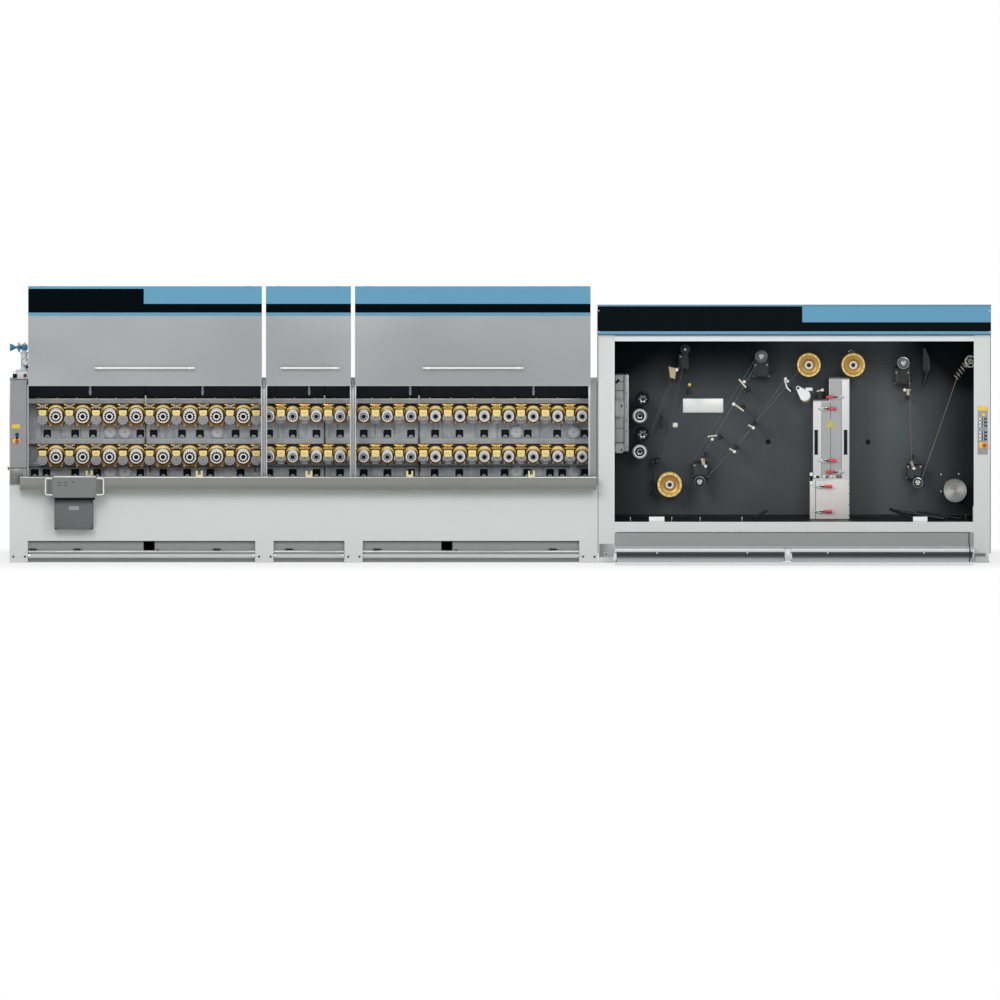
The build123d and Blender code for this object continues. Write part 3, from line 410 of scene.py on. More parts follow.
# Each row: red, green and blue, then what its maker takes after the colour
FINISH_ROWS = {
    painted: dict(
        light_grey_paint=(207, 209, 208, 0.42, 0.05),
        base_paint=(209, 211, 210, 0.42, 0.05, 0.0005, base_shade),
        mid_grey_paint=(145, 147, 146),
        black_paint=(8, 8, 9, 0.42, 0.1, 0.0005, None, 0.15),
        dark_grey_paint=(96, 99, 101),
        handle_white=(238, 238, 234, 0.3),
        cast_metal=(174, 177, 181, 0.5, 0, 0.0012, cast_marks_and_shade),
        lug_cover=(142, 143, 147, 0.45, 0),
        boss_face=(188, 190, 192, 0.45, 0),
        port_edge=(196, 199, 202, 0.5, 0),
        dark_panel=(60, 65, 69, 0.38, 0),
        wall_panel=(71, 76, 79, 0.42, 0, 0.0004, wall_shade_and_light, 0.05),
        chamber_dark=(26, 31, 34, 0.4, 0, 0.0005, None, 0.2),
        ring_grey=(160, 167, 172, 0.35, 0, 0.0002, ring_wear),
        ring_back=(208, 211, 213, 0.3, 0, 0.0002, ring_wear),
        ring_pale=(158, 163, 167, 0.35, 0, 0.0002, ring_wear),
        white_ceramic=(226, 227, 224, 0.3, 0, 0.0002, ring_wear),
        blue_valve=(22, 118, 148, 0.35),
        pale_pipe=(204, 211, 218, 0.35),
        black_blue_paint=(206, 208, 207, 0.45, 0, 0.0004, header_bands, 0.03),
        edge_blue=(70, 128, 160),
        white_paint=(222, 224, 224, 0.4, 0),
        edge_white=(232, 234, 234, 0.35, 0),
        step_plate=(214, 217, 217, 0.4, 0),
        under_step=(176, 179, 179, 0.5, 0, 0.0005, under_step_shade, 0.2),
        foot_face=(170, 173, 172, 0.45, 0, 0.0005, foot_shade),
        post_strip=(186, 190, 190, 0.35, 0, 0.0005, strip_fade),
        slot_grey=(112, 114, 114, 0.45, 0),
        lower_cover=(214, 213, 209, 0.4, 0),
        entry_grey=(178, 180, 182, 0.45, 0),
        entry_light=(188, 190, 188, 0.4, 0)),
    brushed: dict(
        stainless=(154, 156, 157, "z"),
        sill_steel=(146, 147, 145, "x", 0.36, 1.0, 0.09, sill_streaks_and_shade),
        console_steel=(136, 137, 137, "x"),
        door_steel=(155, 158, 159, "x", 0.42, door_metal, 0.04, door_bands),
        gold=(222, 186, 108, "y"),
        guard_gold=(214, 160, 84, "y", 0.3, 0.85, 0.12, gold_painted_light),
        leg_steel=(130, 132, 129, "z"),
        wheel_gold=(214, 172, 96, "y", 0.42, 0.75, 0.12, turned_dish),
        pipe_pale=(206, 208, 208, "x", 0.4, 0.5),
        step_steel=(204, 208, 209, "x", 0.42, 0.3),
        column_steel=(212, 213, 212, "z", 0.42, 0.15, 0.05),
        column_dark=(166, 168, 169, "z", 0.4, 0.4, 0.16),
        entry_plate=(180, 182, 182, "z", 0.4, 0.4),
        plate_bright=(232, 233, 232, "x", 0.42, 0.3, 0.05),
        drum_face=(138, 139, 136, "x", 0.36, 0.8, 0.1, drum_sheen)),
    polished: dict(
        bright_steel=(216, 217, 216, 0.3),
        lug_light=(176, 178, 178, 0.4, 0.6),
        lug_grey=(132, 134, 136, 0.45, 0.5),
        seam_brown=(92, 74, 62, 0.45, 0.5),
        guard_shade=(52, 38, 24, 0.5, 0.3),
        guard_brown=(132, 98, 52, 0.4, 0.8),
        holder_gold=(216, 178, 86, 0.34, 0.85),
        holder_dark=(150, 112, 44, 0.4, 0.7),
        pale_gold=(236, 218, 144, 0.4, 0.3, 0.06),
        die_brown=(96, 80, 58, 0.5, 0.4),
        wheel_rim=(240, 214, 130, 0.35, 0.6),
        sheave_face=(92, 95, 97, 0.35, 0.6),
        yellow_gold=(228, 206, 128, 0.4, 0.5),
        black_metal=(15, 16, 18, 0.5, 0),
        bracket_grey=(56, 58, 61, 0.45, 0.3),
        fan_dark=(34, 37, 40, 0.3, 0.4),
        clamp_steel=(186, 187, 187, 0.35, 0.8),
        clamp_bright=(224, 225, 224, 0.25, 0.7),
        drum_steel=(176, 176, 172, 0.35),
        sheave_grey=(120, 122, 126, 0.35),
        sheave_dark=(48, 50, 52, 0.28, 0.7),
        roller_steel=(190, 192, 192, 0.25, 0.9),
        wire_grey=(100, 103, 104, 0.4, 0.5),
        wire_dark=(58, 54, 52, 0.4, 0.6),
        wire_brown=(134, 122, 112, 0.4, 0.6)),
    plastic: dict(
        white_plastic=(236, 238, 238),
        dark_seam=(34, 35, 37, 0.6, 0, 0.2),
        seam_red=(104, 32, 34),
        yellow_plastic=(226, 200, 74),
        clip_pale=(222, 211, 156),
        post_label=(216, 186, 40),
        label_yellow=(196, 184, 74, 0.5),
        button_yellow=(246, 206, 40),
        stop_red=(206, 44, 34, 0.3, 0.3),
        grip_red=(226, 58, 56, 0.3, 0.3),
        blue_black=(34, 38, 62, 0.3, 0.2),
        black_plastic=(7, 7, 8, 0.38, 0, 0.15),
        strip_grey=(150, 152, 154),
        knob_red=(168, 44, 58, 0.35, 0.2),
        floor_black=(22, 24, 28, 0.25, 0.3),
        guide_white=(222, 214, 190),
        guide_tan=(186, 170, 132, 0.5),
        guide_ball=(244, 244, 242, 0.25, 0.4),
        lever_edge=(150, 140, 40, 0.4)),
}
FINISHES = {name: maker(name, srgb(*row[:3]), *row[3:])
            for maker, rows in FINISH_ROWS.items() for name, row in rows.items()}

# Nodes whose finish is a variant of their slot's
OWN_FINISHES = dict(
    annealer_base="base_paint", annealer_back_panel="wall_panel", chamber_back_panels="chamber_dark",
    chamber_roof="chamber_dark", sill_tray="sill_steel", guide_strips="post_strip", step_frame="step_plate",
    fork_clips="clip_pale")

for part in frame["record"]["subparts"]:
    surface = frame["nodes"][part["node"]].data.materials
    surface.clear()
    surface.append(FINISHES[OWN_FINISHES.get(part["node"], part["material_slot"])])


# Camera, floor and light

VIEW_WIDTH = 9.0
VIEW_MIDDLE = at(4414.5, 0, 567)
CAMERA_DISTANCE = 300
CAMERA_PITCH = radians(4)
FLOOR_REACH = 700
HALF_LENGTH, HALF_DEPTH = 4.3, 0.8

# Long lens from far off, a little above the machine, as the photograph was taken
lens = bpy.data.cameras.new("camera")
lens.sensor_width = 36
lens.lens = lens.sensor_width * CAMERA_DISTANCE / VIEW_WIDTH
lens.clip_start = 20
lens.clip_end = 900
camera = added("camera", lens)
back = Vector((0, -cos(CAMERA_PITCH), sin(CAMERA_PITCH)))
pointed(camera, VIEW_MIDDLE + back * CAMERA_DISTANCE, -back)
bpy.context.scene.camera = camera

# Pale floor that the camera sees as white, with the machine's shadow kept
f = Finish("stage_floor")
x, y, z = f.axes
grain = f.mix(f.noise((0.7, 0.7, 0.7), 2), (0.84, 0.84, 0.84, 1), (0.88, 0.88, 0.88, 1))
away = (abs(x) - HALF_LENGTH).either(0) + (abs(y) - HALF_DEPTH).either(0)
seen = f.node("ShaderNodeLightPath", output="Is Camera Ray") * (away.ramp(0.0, 0.9) * 0.3 + 0.7)
f.end("ShaderNodeOutputMaterial", "Surface", f.node("ShaderNodeMixShader", (
    seen, f.node("ShaderNodeBsdfDiffuse", {"Color": grain}),
    f.node("ShaderNodeEmission", {"Color": (1, 1, 1, 1), "Strength": 1.0}))))
mesh = bpy.data.meshes.new("stage_floor")
mesh.from_pydata([(sx * FLOOR_REACH, sy * FLOOR_REACH, 0) for sx, sy in ((-1, -1), (1, -1), (1, 1), (-1, 1))],
                 [], [(0, 1, 2, 3)])
mesh.materials.append(f.material)
added("stage_floor", mesh)

# Sky: full white to the camera and through glass, softer on the machine
world = bpy.data.worlds.new("world")
world.use_nodes = True
sky = Nodes(world.node_tree)
seen = sky.node("ShaderNodeLightPath", output="Is Camera Ray")
seen = seen.either(seen.other("Is Transmission Ray"))
level = sky.node("ShaderNodeMapRange", {"Value": seen, "To Min": 0.62, "To Max": 1.0})
sky.end("ShaderNodeOutputWorld", "Surface", sky.node("ShaderNodeBackground", {"Strength": level}))
bpy.context.scene.world = world
bpy.context.scene.view_settings.view_transform = "Standard"

for i, (place, size, power, aim) in enumerate((
        # place in metres, size, power, aim
        ((-5.0, -11.0, 7.5), 5.0, 620, (-0.6, 0, 1.1)),
        ((5.5, -12.0, 6.0), 5.0, 430, (0.8, 0, 1.0)),
        ((0.0, 4.0, 9.0), 6.0, 260, (0, 0, 1.5)))):
    light = bpy.data.lights.new(f"lamp_{i}", "AREA")
    light.shape = "SQUARE"
    light.size = size
    light.energy = power
    pointed(added(f"lamp_{i}", light), place, Vector(aim) - Vector(place))


# Pieces built here

SHARP = radians(34)
BOX_FACES = ((0, 1, 3, 2), (4, 6, 7, 5), (0, 4, 5, 1), (2, 3, 7, 6), (0, 2, 6, 4), (1, 5, 7, 3))


def handed_over(obj, body, nodes=()):
    """Gives an object to its body, in place of nodes."""
    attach(obj, body)
    if nodes:
        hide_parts(*nodes)


class Piece:
    """A mesh put together from plain shapes placed on the shop drawing, then given to its body."""

    def __init__(self, name, slot, *nodes):
        self.name = name
        self.slot = slot
        self.nodes = nodes
        self.mesh = bmesh.new()
        self.finishes = []

    def __enter__(self):
        return self

    def add(self, points, faces, finish):
        """Adds faces between points."""
        if finish not in self.finishes:
            self.finishes.append(finish)
        corners = [self.mesh.verts.new(at(*p)) for p in points]
        for face in faces:
            self.mesh.faces.new([corners[i] for i in face]).material_index = self.finishes.index(finish)

    def take(self, made, finish):
        """Adds a shape that was made apart."""
        made.verts.index_update()
        self.add([v.co for v in made.verts], [[v.index for v in f.verts] for f in made.faces], finish)
        made.free()

    def box(self, x0, x1, y0, y1, z0, z1, finish, edge=0):
        """Box between two values on each axis, with its edges taken off by edge."""
        points = [(x, y, z) for x in (x0, x1) for y in (y0, y1) for z in (z0, z1)]
        if not edge:
            self.add(points, BOX_FACES, finish)
            return
        made = bmesh.new()
        corners = [made.verts.new(p) for p in points]
        for face in BOX_FACES:
            made.faces.new([corners[i] for i in face])
        bmesh.ops.bevel(made, geom=made.edges[:], segments=2, affect="EDGES", profile=0.5,
                        offset=min(edge, (x1 - x0) * 0.45, (y1 - y0) * 0.45, (z1 - z0) * 0.45))
        self.take(made, finish)

    def boxes(self, finish, edge, *rows):
        """Boxes with one finish and edge."""
        for row in rows:
            self.box(*row, finish, edge)

    def plate(self, outline, y0, y1, finish, holes=()):
        """Flat plate with this outline in x and z, cut through by holes."""
        made = bmesh.new()
        for loop in (outline, *holes):
            ring = [made.verts.new((x, y0, z)) for x, z in loop]
            for a, b in zip(ring, ring[1:] + ring[:1]):
                made.edges.new((a, b))
        bmesh.ops.triangle_fill(made, use_beauty=True, use_dissolve=False, edges=made.edges[:])
        grown = bmesh.ops.extrude_face_region(made, geom=made.faces[:], use_keep_orig=True)["geom"]
        for v in grown:
            if isinstance(v, bmesh.types.BMVert):
                v.co.y = y1
        self.take(made, finish)

    def turned(self, x, z, profile, finish, sides=24, front=0):
        """Profile of (radius, y behind front) turned about the axis that runs back through x and z.

        A profile that starts on the axis also ends there. Any other is closed into a hoop.
        """
        if profile[0][0]:
            profile = [*profile, profile[0]]
        rings, points = [], []
        for radius, y in profile:
            rings.append(range(len(points), len(points) + (sides if radius else 1)))
            points += [(x + radius * c, front + y, z + radius * s) for c, s in around(sides)[:len(rings[-1])]]
        faces = []
        for a, b in zip(rings, rings[1:]):
            for i in range(sides):
                j = (i + 1) % sides
                if len(a) == 1:
                    faces.append((a[0], b[i], b[j]))
                elif len(b) == 1:
                    faces.append((a[i], a[j], b[0]))
                else:
                    faces.append((a[i], a[j], b[j], b[i]))
        self.add(points, faces, finish)

    def disc(self, x, z, radius, y0, y1, finish, sides, slope=()):
        """Disc between two depths. A slope of (inwards, back) takes off its front edge."""
        face = [(radius - slope[0], y0), (radius, y0 + slope[1])] if slope else [(radius, y0)]
        self.turned(x, z, [(0, y0), *face, (radius, y1), (0, y1)], finish, sides)

    def hoop(self, x, z, inner, outer, y0, y1, finish, sides=24, slope=()):
        """Square hoop between two radii and two depths, sloped as a disc is."""
        face = [(outer - slope[0], y0), (outer, y0 + slope[1])] if slope else [(outer, y0)]
        self.turned(x, z, [(inner, y0), *face, (outer, y1), (inner, y1)], finish, sides)

    def tube(self, path, radius, finish, sides=8, closed=False):
        """Round bar along a path of (x, y, z) places."""
        path = [Vector(p) for p in path]
        count = len(path)
        points, faces = [], []
        side = None
        for i, place in enumerate(path):
            before = path[i - 1] if i or closed else place
            after = path[(i + 1) % count] if i < count - 1 or closed else place
            along = (after - before).normalized()
            if side is None:
                side = along.orthogonal().normalized()
            side = (side - along * side.dot(along)).normalized()
            other = along.cross(side)
            points += [tuple(place + radius * (side * c + other * s)) for c, s in around(sides)]
        for i in range(count if closed else count - 1):
            a = i * sides
            b = (i + 1) % count * sides
            faces += [(a + k, a + (k + 1) % sides, b + (k + 1) % sides, b + k) for k in range(sides)]
        if not closed:
            faces += [tuple(reversed(range(sides))), tuple(range((count - 1) * sides, count * sides))]
        self.add(points, faces, finish)

    def ball(self, x, y, z, radius, finish, sides):
        """Round ball."""
        profile = [(radius * s, -radius * c) for c, s in around(6, 0, pi)]
        profile[0], profile[-1] = (0, -radius), (0, radius)
        self.turned(x, z, profile, finish, sides, y)

    def __exit__(self, *problem):
        """Makes the object, closes its normals and gives it to the body of the nodes it replaces."""
        bmesh.ops.recalc_face_normals(self.mesh, faces=self.mesh.faces[:])
        for face in self.mesh.faces:
            face.smooth = True
        for edge in self.mesh.edges:
            edge.smooth = len(edge.link_faces) != 2 or edge.calc_face_angle(0) < SHARP
        data = bpy.data.meshes.new(self.name)
        self.mesh.to_mesh(data)
        self.mesh.free()
        for finish in self.finishes:
            data.materials.append(FINISHES[finish])
        body = body_of(frame["nodes"][self.nodes[0]])[0] if self.nodes else "root"
        handed_over(added(self.name, data), body, self.nodes)


def circle(x, z, radius, sides=16, start=0.0, sweep=2 * pi):
    """Points of a circle in x and z, or of a part of it."""
    return [(x + radius * c, z + radius * s) for c, s in around(sides, start, sweep)]


def mirrored(x, z, *flank):
    """Outline whose left flank of (out, up) places is repeated on its right."""
    return [(x - out, z + up) for out, up in flank] + [(x + out, z + up) for out, up in flank[::-1]]


def rectangle(x0, x1, z0, z1, c, sides=3):
    """Outline of a rectangle in x and z with corners rounded by c."""
    middles = ((x1 - c, z1 - c), (x0 + c, z1 - c), (x0 + c, z0 + c), (x1 - c, z0 + c))
    return [p for i, (x, z) in enumerate(middles) for p in circle(x, z, c, sides, i * pi / 2, pi / 2)]


# Shapes that follow a rule

MERGE_DISTANCE = 0.00001


class Rule(Nodes):
    """A geometry rule with named inputs that sets one shape on many places."""

    def __init__(self, name, **inputs):
        super().__init__(bpy.data.node_groups.new(name, "GeometryNodeTree"))
        for key, value in {"Places": "Geometry", **inputs, "Tilt": pi / 2, "Finish": "Material"}.items():
            kind = {int: "Int", float: "Float"}.get(type(value), value)
            socket = self.tree.interface.new_socket(key.replace("_", " "), in_out="INPUT",
                                                    socket_type=f"NodeSocket{kind}")
            if kind != value:
                socket.default_value = value
        self.tree.interface.new_socket("Shape", in_out="OUTPUT", socket_type="NodeSocketGeometry")
        self.start = self.tree.nodes.new("NodeGroupInput")

    def __getitem__(self, name):
        """One of the named inputs."""
        return Value(self, self.start.outputs[name])

    def circle(self, sides, radius):
        """A round outline."""
        return self.node("CurvePrimitiveCircle", {"Resolution": sides, "Radius": radius})

    def extruded(self, mesh, height, chosen=None):
        """A mesh with its faces, or the chosen ones, drawn out by a height."""
        sockets = {"Mesh": mesh, "Offset Scale": height, "Individual": False}
        return self.node("ExtrudeMesh", {**sockets, "Selection": chosen} if chosen else sockets)

    def pierced(self, outer, points, hole, *more):
        """Ends the rule with a plate inside outer, cut through by a hole on every point."""
        holes = self.node("RealizeInstances", {"Geometry": self.node(
            "InstanceOnPoints", {"Points": points, "Instance": hole})})
        flat = self.node("FillCurve", {"Curve": self.node("JoinGeometry", {"Geometry": [outer, *more, holes]})})
        self.ends(self.extruded(flat, self["Thickness"]), flat)

    def ends(self, shape, flat):
        """Closes the shape with its flat back, turns it to the front and sets it on every place."""
        both = self.node("JoinGeometry", {"Geometry": [shape, self.node("FlipFaces", {"Mesh": flat})]})
        closed = self.node("MergeByDistance", {"Geometry": both, "Distance": MERGE_DISTANCE})
        angles = self.node("ShaderNodeCombineXYZ", {"X": self["Tilt"]})
        turn = self.node("FunctionNodeEulerToRotation", {"Euler": angles})
        front = self.node("Transform", {"Geometry": closed, "Rotation": turn})
        many = self.node("InstanceOnPoints", {"Points": self["Places"], "Instance": front})
        real = self.node("RealizeInstances", {"Geometry": many})
        finished = self.node("SetMaterial", {"Geometry": real, "Material": self["Finish"]})
        self.end("NodeGroupOutput", "Shape", finished)

    def make(self, name, places, finish, slot, **inputs):
        """Runs the rule on a list of places and keeps the result as a plain mesh."""
        data = bpy.data.meshes.new(name + "_places")
        data.from_pydata([at(*p) for p in places], [], [])
        obj = added(name, data)
        step = obj.modifiers.new("rule", "NODES")
        step.node_group = self.tree
        values = {key.replace("_", " "): value for key, value in inputs.items()}
        values["Finish"] = FINISHES[finish]
        for item in self.tree.interface.items_tree:
            if item.name in values:
                step[item.identifier] = values[item.name]
        plain = bpy.data.meshes.new_from_object(obj.evaluated_get(bpy.context.evaluated_depsgraph_get()))
        plain.name = name
        obj.modifiers.remove(step)
        obj.data = plain
        plain.materials.clear()
        plain.materials.append(FINISHES[finish])
        handed_over(obj, "root")


# Turned ring with a bore and a circle of round holes
drilled_ring = g = Rule("drilled_ring", Radius=0.059, Bore=0.021, Hole_Radius=0.008, Hole_Circle=0.04, Holes=12,
                        Thickness=0.012, Sides=40)
row = g.node("MeshCircle", {"Vertices": g["Holes"], "Radius": g["Hole Circle"]})
g.pierced(g.circle(g["Sides"], g["Radius"]), row, g.circle(8, g["Hole Radius"]), g.circle(20, g["Bore"]))

# Flat strip with a row of holes or slots
perforated_strip = g = Rule("perforated_strip", Length=1.0, Height=0.03, Holes=30, Hole_Width=0.012,
                            Hole_Height=0.012, Thickness=0.003)
pitch = g["Length"] / g["Holes"]
first = g.node("ShaderNodeCombineXYZ", {"X": (g["Length"] - pitch) * -0.5})
row = g.node("MeshLine", {"Count": g["Holes"], "Start Location": first,
                          "Offset": g.node("ShaderNodeCombineXYZ", {"X": pitch})})
size = g.node("ShaderNodeCombineXYZ", {"X": g["Hole Width"], "Y": g["Hole Height"], "Z": 1.0})
g.pierced(g.node("CurvePrimitiveQuadrilateral", {"Width": g["Length"], "Height": g["Height"]}), row,
          g.node("Transform", {"Geometry": g.circle(8, 0.5), "Scale": size}))

# Round screw head with a socket in it
screw_head = g = Rule("screw_head", Radius=0.007, Height=0.004, Socket=0.5, Sides=10)
disc = g.node("MeshCircle", {"Vertices": g["Sides"], "Radius": g["Radius"]}, fill_type="NGON")
head = g.extruded(disc, g["Height"])
lip = g.extruded(head, 0.0, head.other("Top"))
small = g.node("ScaleElements", {"Geometry": lip, "Selection": lip.other("Top"), "Scale": g["Socket"]})
g.ends(g.extruded(small, g["Height"] * -0.6, lip.other("Top")), disc)


# Drawing rows


def capstans(kind):
    """Every (x, z) place of the capstans of one kind."""
    start, pitch, count = KINDS[kind][:3]
    return [(start + i * pitch, z) for i in range(count) for z in ROWS]


def beside(kind, across, y, up):
    """A place left and right of every capstan of one kind."""
    return [(x + side * across, y, z + up) for x, z in capstans(kind) for side in (-1, 1)]


def die_places():
    """Every (x, z) place of the die holders: left of each capstan."""
    places, last = [], None
    for start, pitch, count, *_ in KINDS:
        for x in [start + i * pitch for i in range(count)]:
            places.append((x + last) / 2 if last and x == start else x - pitch / 2)
            last = x
    return [(x, z) for x in places for z in ROWS]


# Ceramic rings: drilled faces on turned bodies, dark inside
with Piece("ring_bodies", "white_ceramic", "capstan_rings") as p:
    for kind, (rim, lip, lift) in enumerate(((59, 52, 17), (48, 39, 18), (47, 40, 12))):
        for x, z in capstans(kind):
            p.turned(x, z + lift, [(0, 26), (rim - 5, 26), (rim - 2, 29), (rim - 1, 50), (rim - 1, 100),
                                   (0, 100)], "ring_back", 32, RING_FRONT)
            p.turned(x, z, [(rim - 3, 0), (rim, 3), (rim, 14), (rim - 5, 20), (rim - 8, 100), (lip - 8, 100),
                            (lip - 4, 16), (lip, 4), (lip, 0)], "white_ceramic", 32, RING_FRONT)
            p.disc(x, z, lip, RING_FRONT + 18, RING_FRONT + 24, "black_plastic", 20)
            if kind == 2:
                p.hoop(x, z, 32, 42, RING_FRONT + 9, RING_FRONT + 15, "white_ceramic", 24)
RING_SIZES = ("Radius", "Bore", "Hole_Radius", "Hole_Circle", "Holes", "Thickness")
for kind, (finish, slot, *sizes) in enumerate((
        ("white_ceramic", "white_ceramic", 0.053, 0.0205, 0.0107, 0.0395, 12, 0.010),
        ("ring_grey", "cast_metal", 0.0395, 0.0192, 0.0056, 0.0305, 12, 0.008),
        ("ring_pale", "cast_metal", 0.033, 0.0205, 0.001, 0.027, 6, 0.007))):
    faces = [(x, RING_FRONT + 13, z) for x, z in capstans(kind)]
    drilled_ring.make(f"ring_faces_{kind + 1}", faces, finish, slot, **dict(zip(RING_SIZES, sizes)))

# Gold guards: a plate with a tapered foot and a bell that opens round the ring
with Piece("guard_plates", "gold", "capstan_guards") as plates, Piece("guard_bells", "gold") as bells:
    for kind, (*_, ring, width, rise, drop) in enumerate(KINDS):
        half = width / 2
        foot = half * 0.74
        waist = -drop * 0.33
        mouth = half - 3
        for x, z in capstans(kind):
            face = circle(x, z + rise - half, half, 16, 0, pi) + mirrored(x, z, (half, waist), (foot, -drop))
            plates.plate(face, GUARD_FRONT, WALL_FRONT - 2, "guard_gold")
            # A dark plate a little larger than each guard, set behind it on the wall: painted shadow.
            shadow = mirrored(x, z, (half * 0.8, rise + 5), (half + 6, rise - half * 0.55), (half + 6, waist),
                              (foot + 5, -drop - 4))
            plates.plate(shadow, 292, WALL_FRONT - 4, "guard_shade")
            plates.box(x - foot + 4, x + foot - 4, GUARD_FRONT - 5, GUARD_FRONT, z - drop + 3, z - drop + 26,
                       "guard_brown", 2)
            bells.turned(x, z + 4, [(mouth - 6, -22), (mouth, -16), (mouth, 0), (mouth - 20, 0),
                                    (mouth - 14, -12)], "guard_gold", 32, GUARD_FRONT)
            bells.hoop(x, z + 2, ring - 12, mouth - 14, GUARD_FRONT - 3, GUARD_FRONT + 1, "guard_brown", 24)
screw_head.make("guard_screws", beside(0, 50, GUARD_FRONT - 5, -84) + beside(2, 40, GUARD_FRONT - 5, -56),
                "bright_steel", "clamp_steel", Radius=0.0055, Height=0.004)
screw_head.make("guard_corner_screws", beside(2, 56, GUARD_FRONT, 78) + beside(0, 74, GUARD_FRONT, 70),
                "black_plastic", "black_plastic", Radius=0.0065, Height=0.004)

# Die holders: clamp bar, centre block and the pale tapered block with its die
with Piece("die_holder_blocks", "yellow_gold", "die_holders") as p, Piece("lug_faces", "cast_metal") as lugs:
    for x, axis in die_places():
        first = x < FIRST_KIND_END
        top = axis + 111
        low, high = (top - 103, top - 54) if first else (top - 110, top - 49)
        middle = (low + high) / 2
        block, studs = ("die_brown", "lug_light") if first else ("holder_gold", "holder_dark")
        p.box(x - 49, x + 49, 150, 200, top - 40, top, "holder_gold", 4)
        p.box(x - 26, x + 26, 143, 152, top - 41, top - 1, block, 3)
        p.boxes(studs, 2, *((a, a + 10, 139, 146, top - 34, top - 8) for a in (x - 21, x - 5, x + 11)))
        p.plate(mirrored(x, 0, (35, high), (34, low + 16), (26, low)), 150, 198, "pale_gold")
        p.plate(mirrored(x, 0, (22, high - 8), (19, low + 8)), 146, 151, "pale_gold")
        p.boxes("holder_dark", 0, *((a, a + 6, 144, 147, middle - 3, middle + 4) for a in (x - 10, x + 4)))
        # Black strip under the clamp bar, black block behind the holder and black bars beside it: painted
        # shadow.
        p.boxes("black_plastic", 0, (x - 46, x + 46, 158, 196, top - 54, top - 40),
                (x - 30, x + 30, 198, WALL_FRONT - 1, top - 100, top - 10),
                *((a, a + 7, 180, 240, top - 100, top - 44) for a in (x - 40, x + 33)))
        z = axis - 27 if first else axis - 13
        lugs.turned(x, z, [(0, 158), (31, 158), (33, 160), (42, 160), (44, 163), (44, 206), (0, 206)],
                    "lug_cover")
        lugs.hoop(x, z, 41, 45, 157, 164, "port_edge", slope=(1, 2))
        lugs.box(x - 6, x + 6, 153, 158, z - 1, z + 7, "die_brown")
screw_head.make("die_holder_screws", [(x + side, 150, z + 95) for x, z in die_places() for side in (-40, 40)],
                "black_plastic", "black_plastic", Radius=0.0105, Height=0.006)

# Middle and lower edge of each drain port: three by themselves, the others near a capstan
ports = [(2196, 1110), (222, 755), (4975, 755)]
for bottom, kinds in (
        (1110, ((-80, -70, -150, 36, -85, -71, -151, -70), [0] * 7, (-4, -5, -2, -33, -50, -5, 22))),
        (755, ((-88, -71, -110, 36, 2, -25, -57, -26), [0] * 7, (-9, -7, -5, -38, -54, -69, 26)))):
    for (start, pitch, *_), shifts in zip(KINDS, kinds):
        ports += [(start + i * pitch + shift, bottom) for i, shift in enumerate(shifts)]

# Drain ports, round covers, ledge edges, seam pipes and casting marks of the gear cases
with Piece("case_details", "cast_metal") as p:
    for x, bottom in ports:
        p.plate(rectangle(x - 35, x + 35, bottom - 2, bottom + 68, 11), 347.5, 352, "black_plastic")
        p.boxes("port_edge", 1, (x - 45, x + 45, 344, 352, bottom + 77, bottom + 81),
                *((a, a + 3, 345, 352, bottom, bottom + 79) for a in (x - 45, x + 42)))
        p.plate(circle(x, bottom + 1, 20, 10, 0, pi), 341, 348, "lug_light")
        p.plate(circle(x, bottom + 1, 13, 8, 0, pi), 339.5, 342, "lug_grey")
    for z, centres in ((1157, (903, 1035, 1868, 4563, 5079)), (797, (903, 1035, 4563, 5079))):
        for x in centres:
            p.turned(x, z, [(0, 325), (5, 325), (7, 327), (24, 327), (26, 325), (40, 325), (42, 328), (46, 328),
                            (48, 331), (48, 352), (0, 352)], "boss_face", 28)
            p.hoop(x, z, 49, 55, 323, 352, "port_edge", 28, (1, 3))
            p.turned(x, z, [(0, 322), (6, 322), (7, 325), (0, 325)], "lug_grey", 10)
    for left, right in zip((162, *CASE_SEAMS), (*CASE_SEAMS, 5220)):
        for front, z, top, edge in ((288, 1414, 1461, "bright_steel"), (288, 1050, 1098, "lug_light"),
                                    (328, 843, 879, "pale_pipe")):
            p.box(left + 3, right - 3, front, front + 4, top - 6, top + 1, edge, 1)
            p.box(left + 3, right - 3, front, front + 4, z, z + 5, "dark_seam")
        p.box(right - 5, right + 5, 346, 352, 705, 1410, "dark_seam")
        count = round((right - left) / 186)
        for i in range(count):
            x = left + (i + 0.5) * (right - left) / count
            p.box(x - 4, x + 4, 300, 312, 1461, 1470, "bright_steel", 1)
            p.box(x - 1.5, x + 1.5, 348, 351, 900, 1040, "lug_light")
            p.box(x + 30, x + 33, 348, 351, 1110, 1230, "dark_seam")
    for x in CASE_SEAMS:
        p.box(x - 7, x + 5, 345, 351, 1463, PANEL_TOP, "black_plastic")
        if x != 2291:
            p.tube([(x, 280, 1400), (x, 280, 1492)], 8, "bright_steel")
            p.tube([(x, 280, 1385), (x, 280, 1418)], 9.5, "seam_brown")
            p.tube([(x, 280, 1040), (x, 280, 1108)], 8.5, "seam_brown")
    for x in (776, 1262, 2210, 3690):
        p.tube([(x, 320, 862), (x, 310, 890), (x + 2, 290, 905), (x + 14, 275, 907)], 9, "dark_seam")
        p.tube([(x, 320, 800), (x, 320, 866)], 7, "die_brown")

# Thin cooling pipes that run along the lower ledge, with their clips
with Piece("ledge_pipes", "stainless") as p:
    for left, right in ((880, 2190), (2430, 2810), (2860, 3640), (3740, 5160)):
        p.tube([(left, 322, 872), (right, 322, 872)], 6, "pale_pipe")
        for x in range(left + 60, left + 60 + (right - left) // 240 * 240, 240):
            p.box(x - 6, x + 6, 314, 330, 862, 880, "dark_seam", 2)

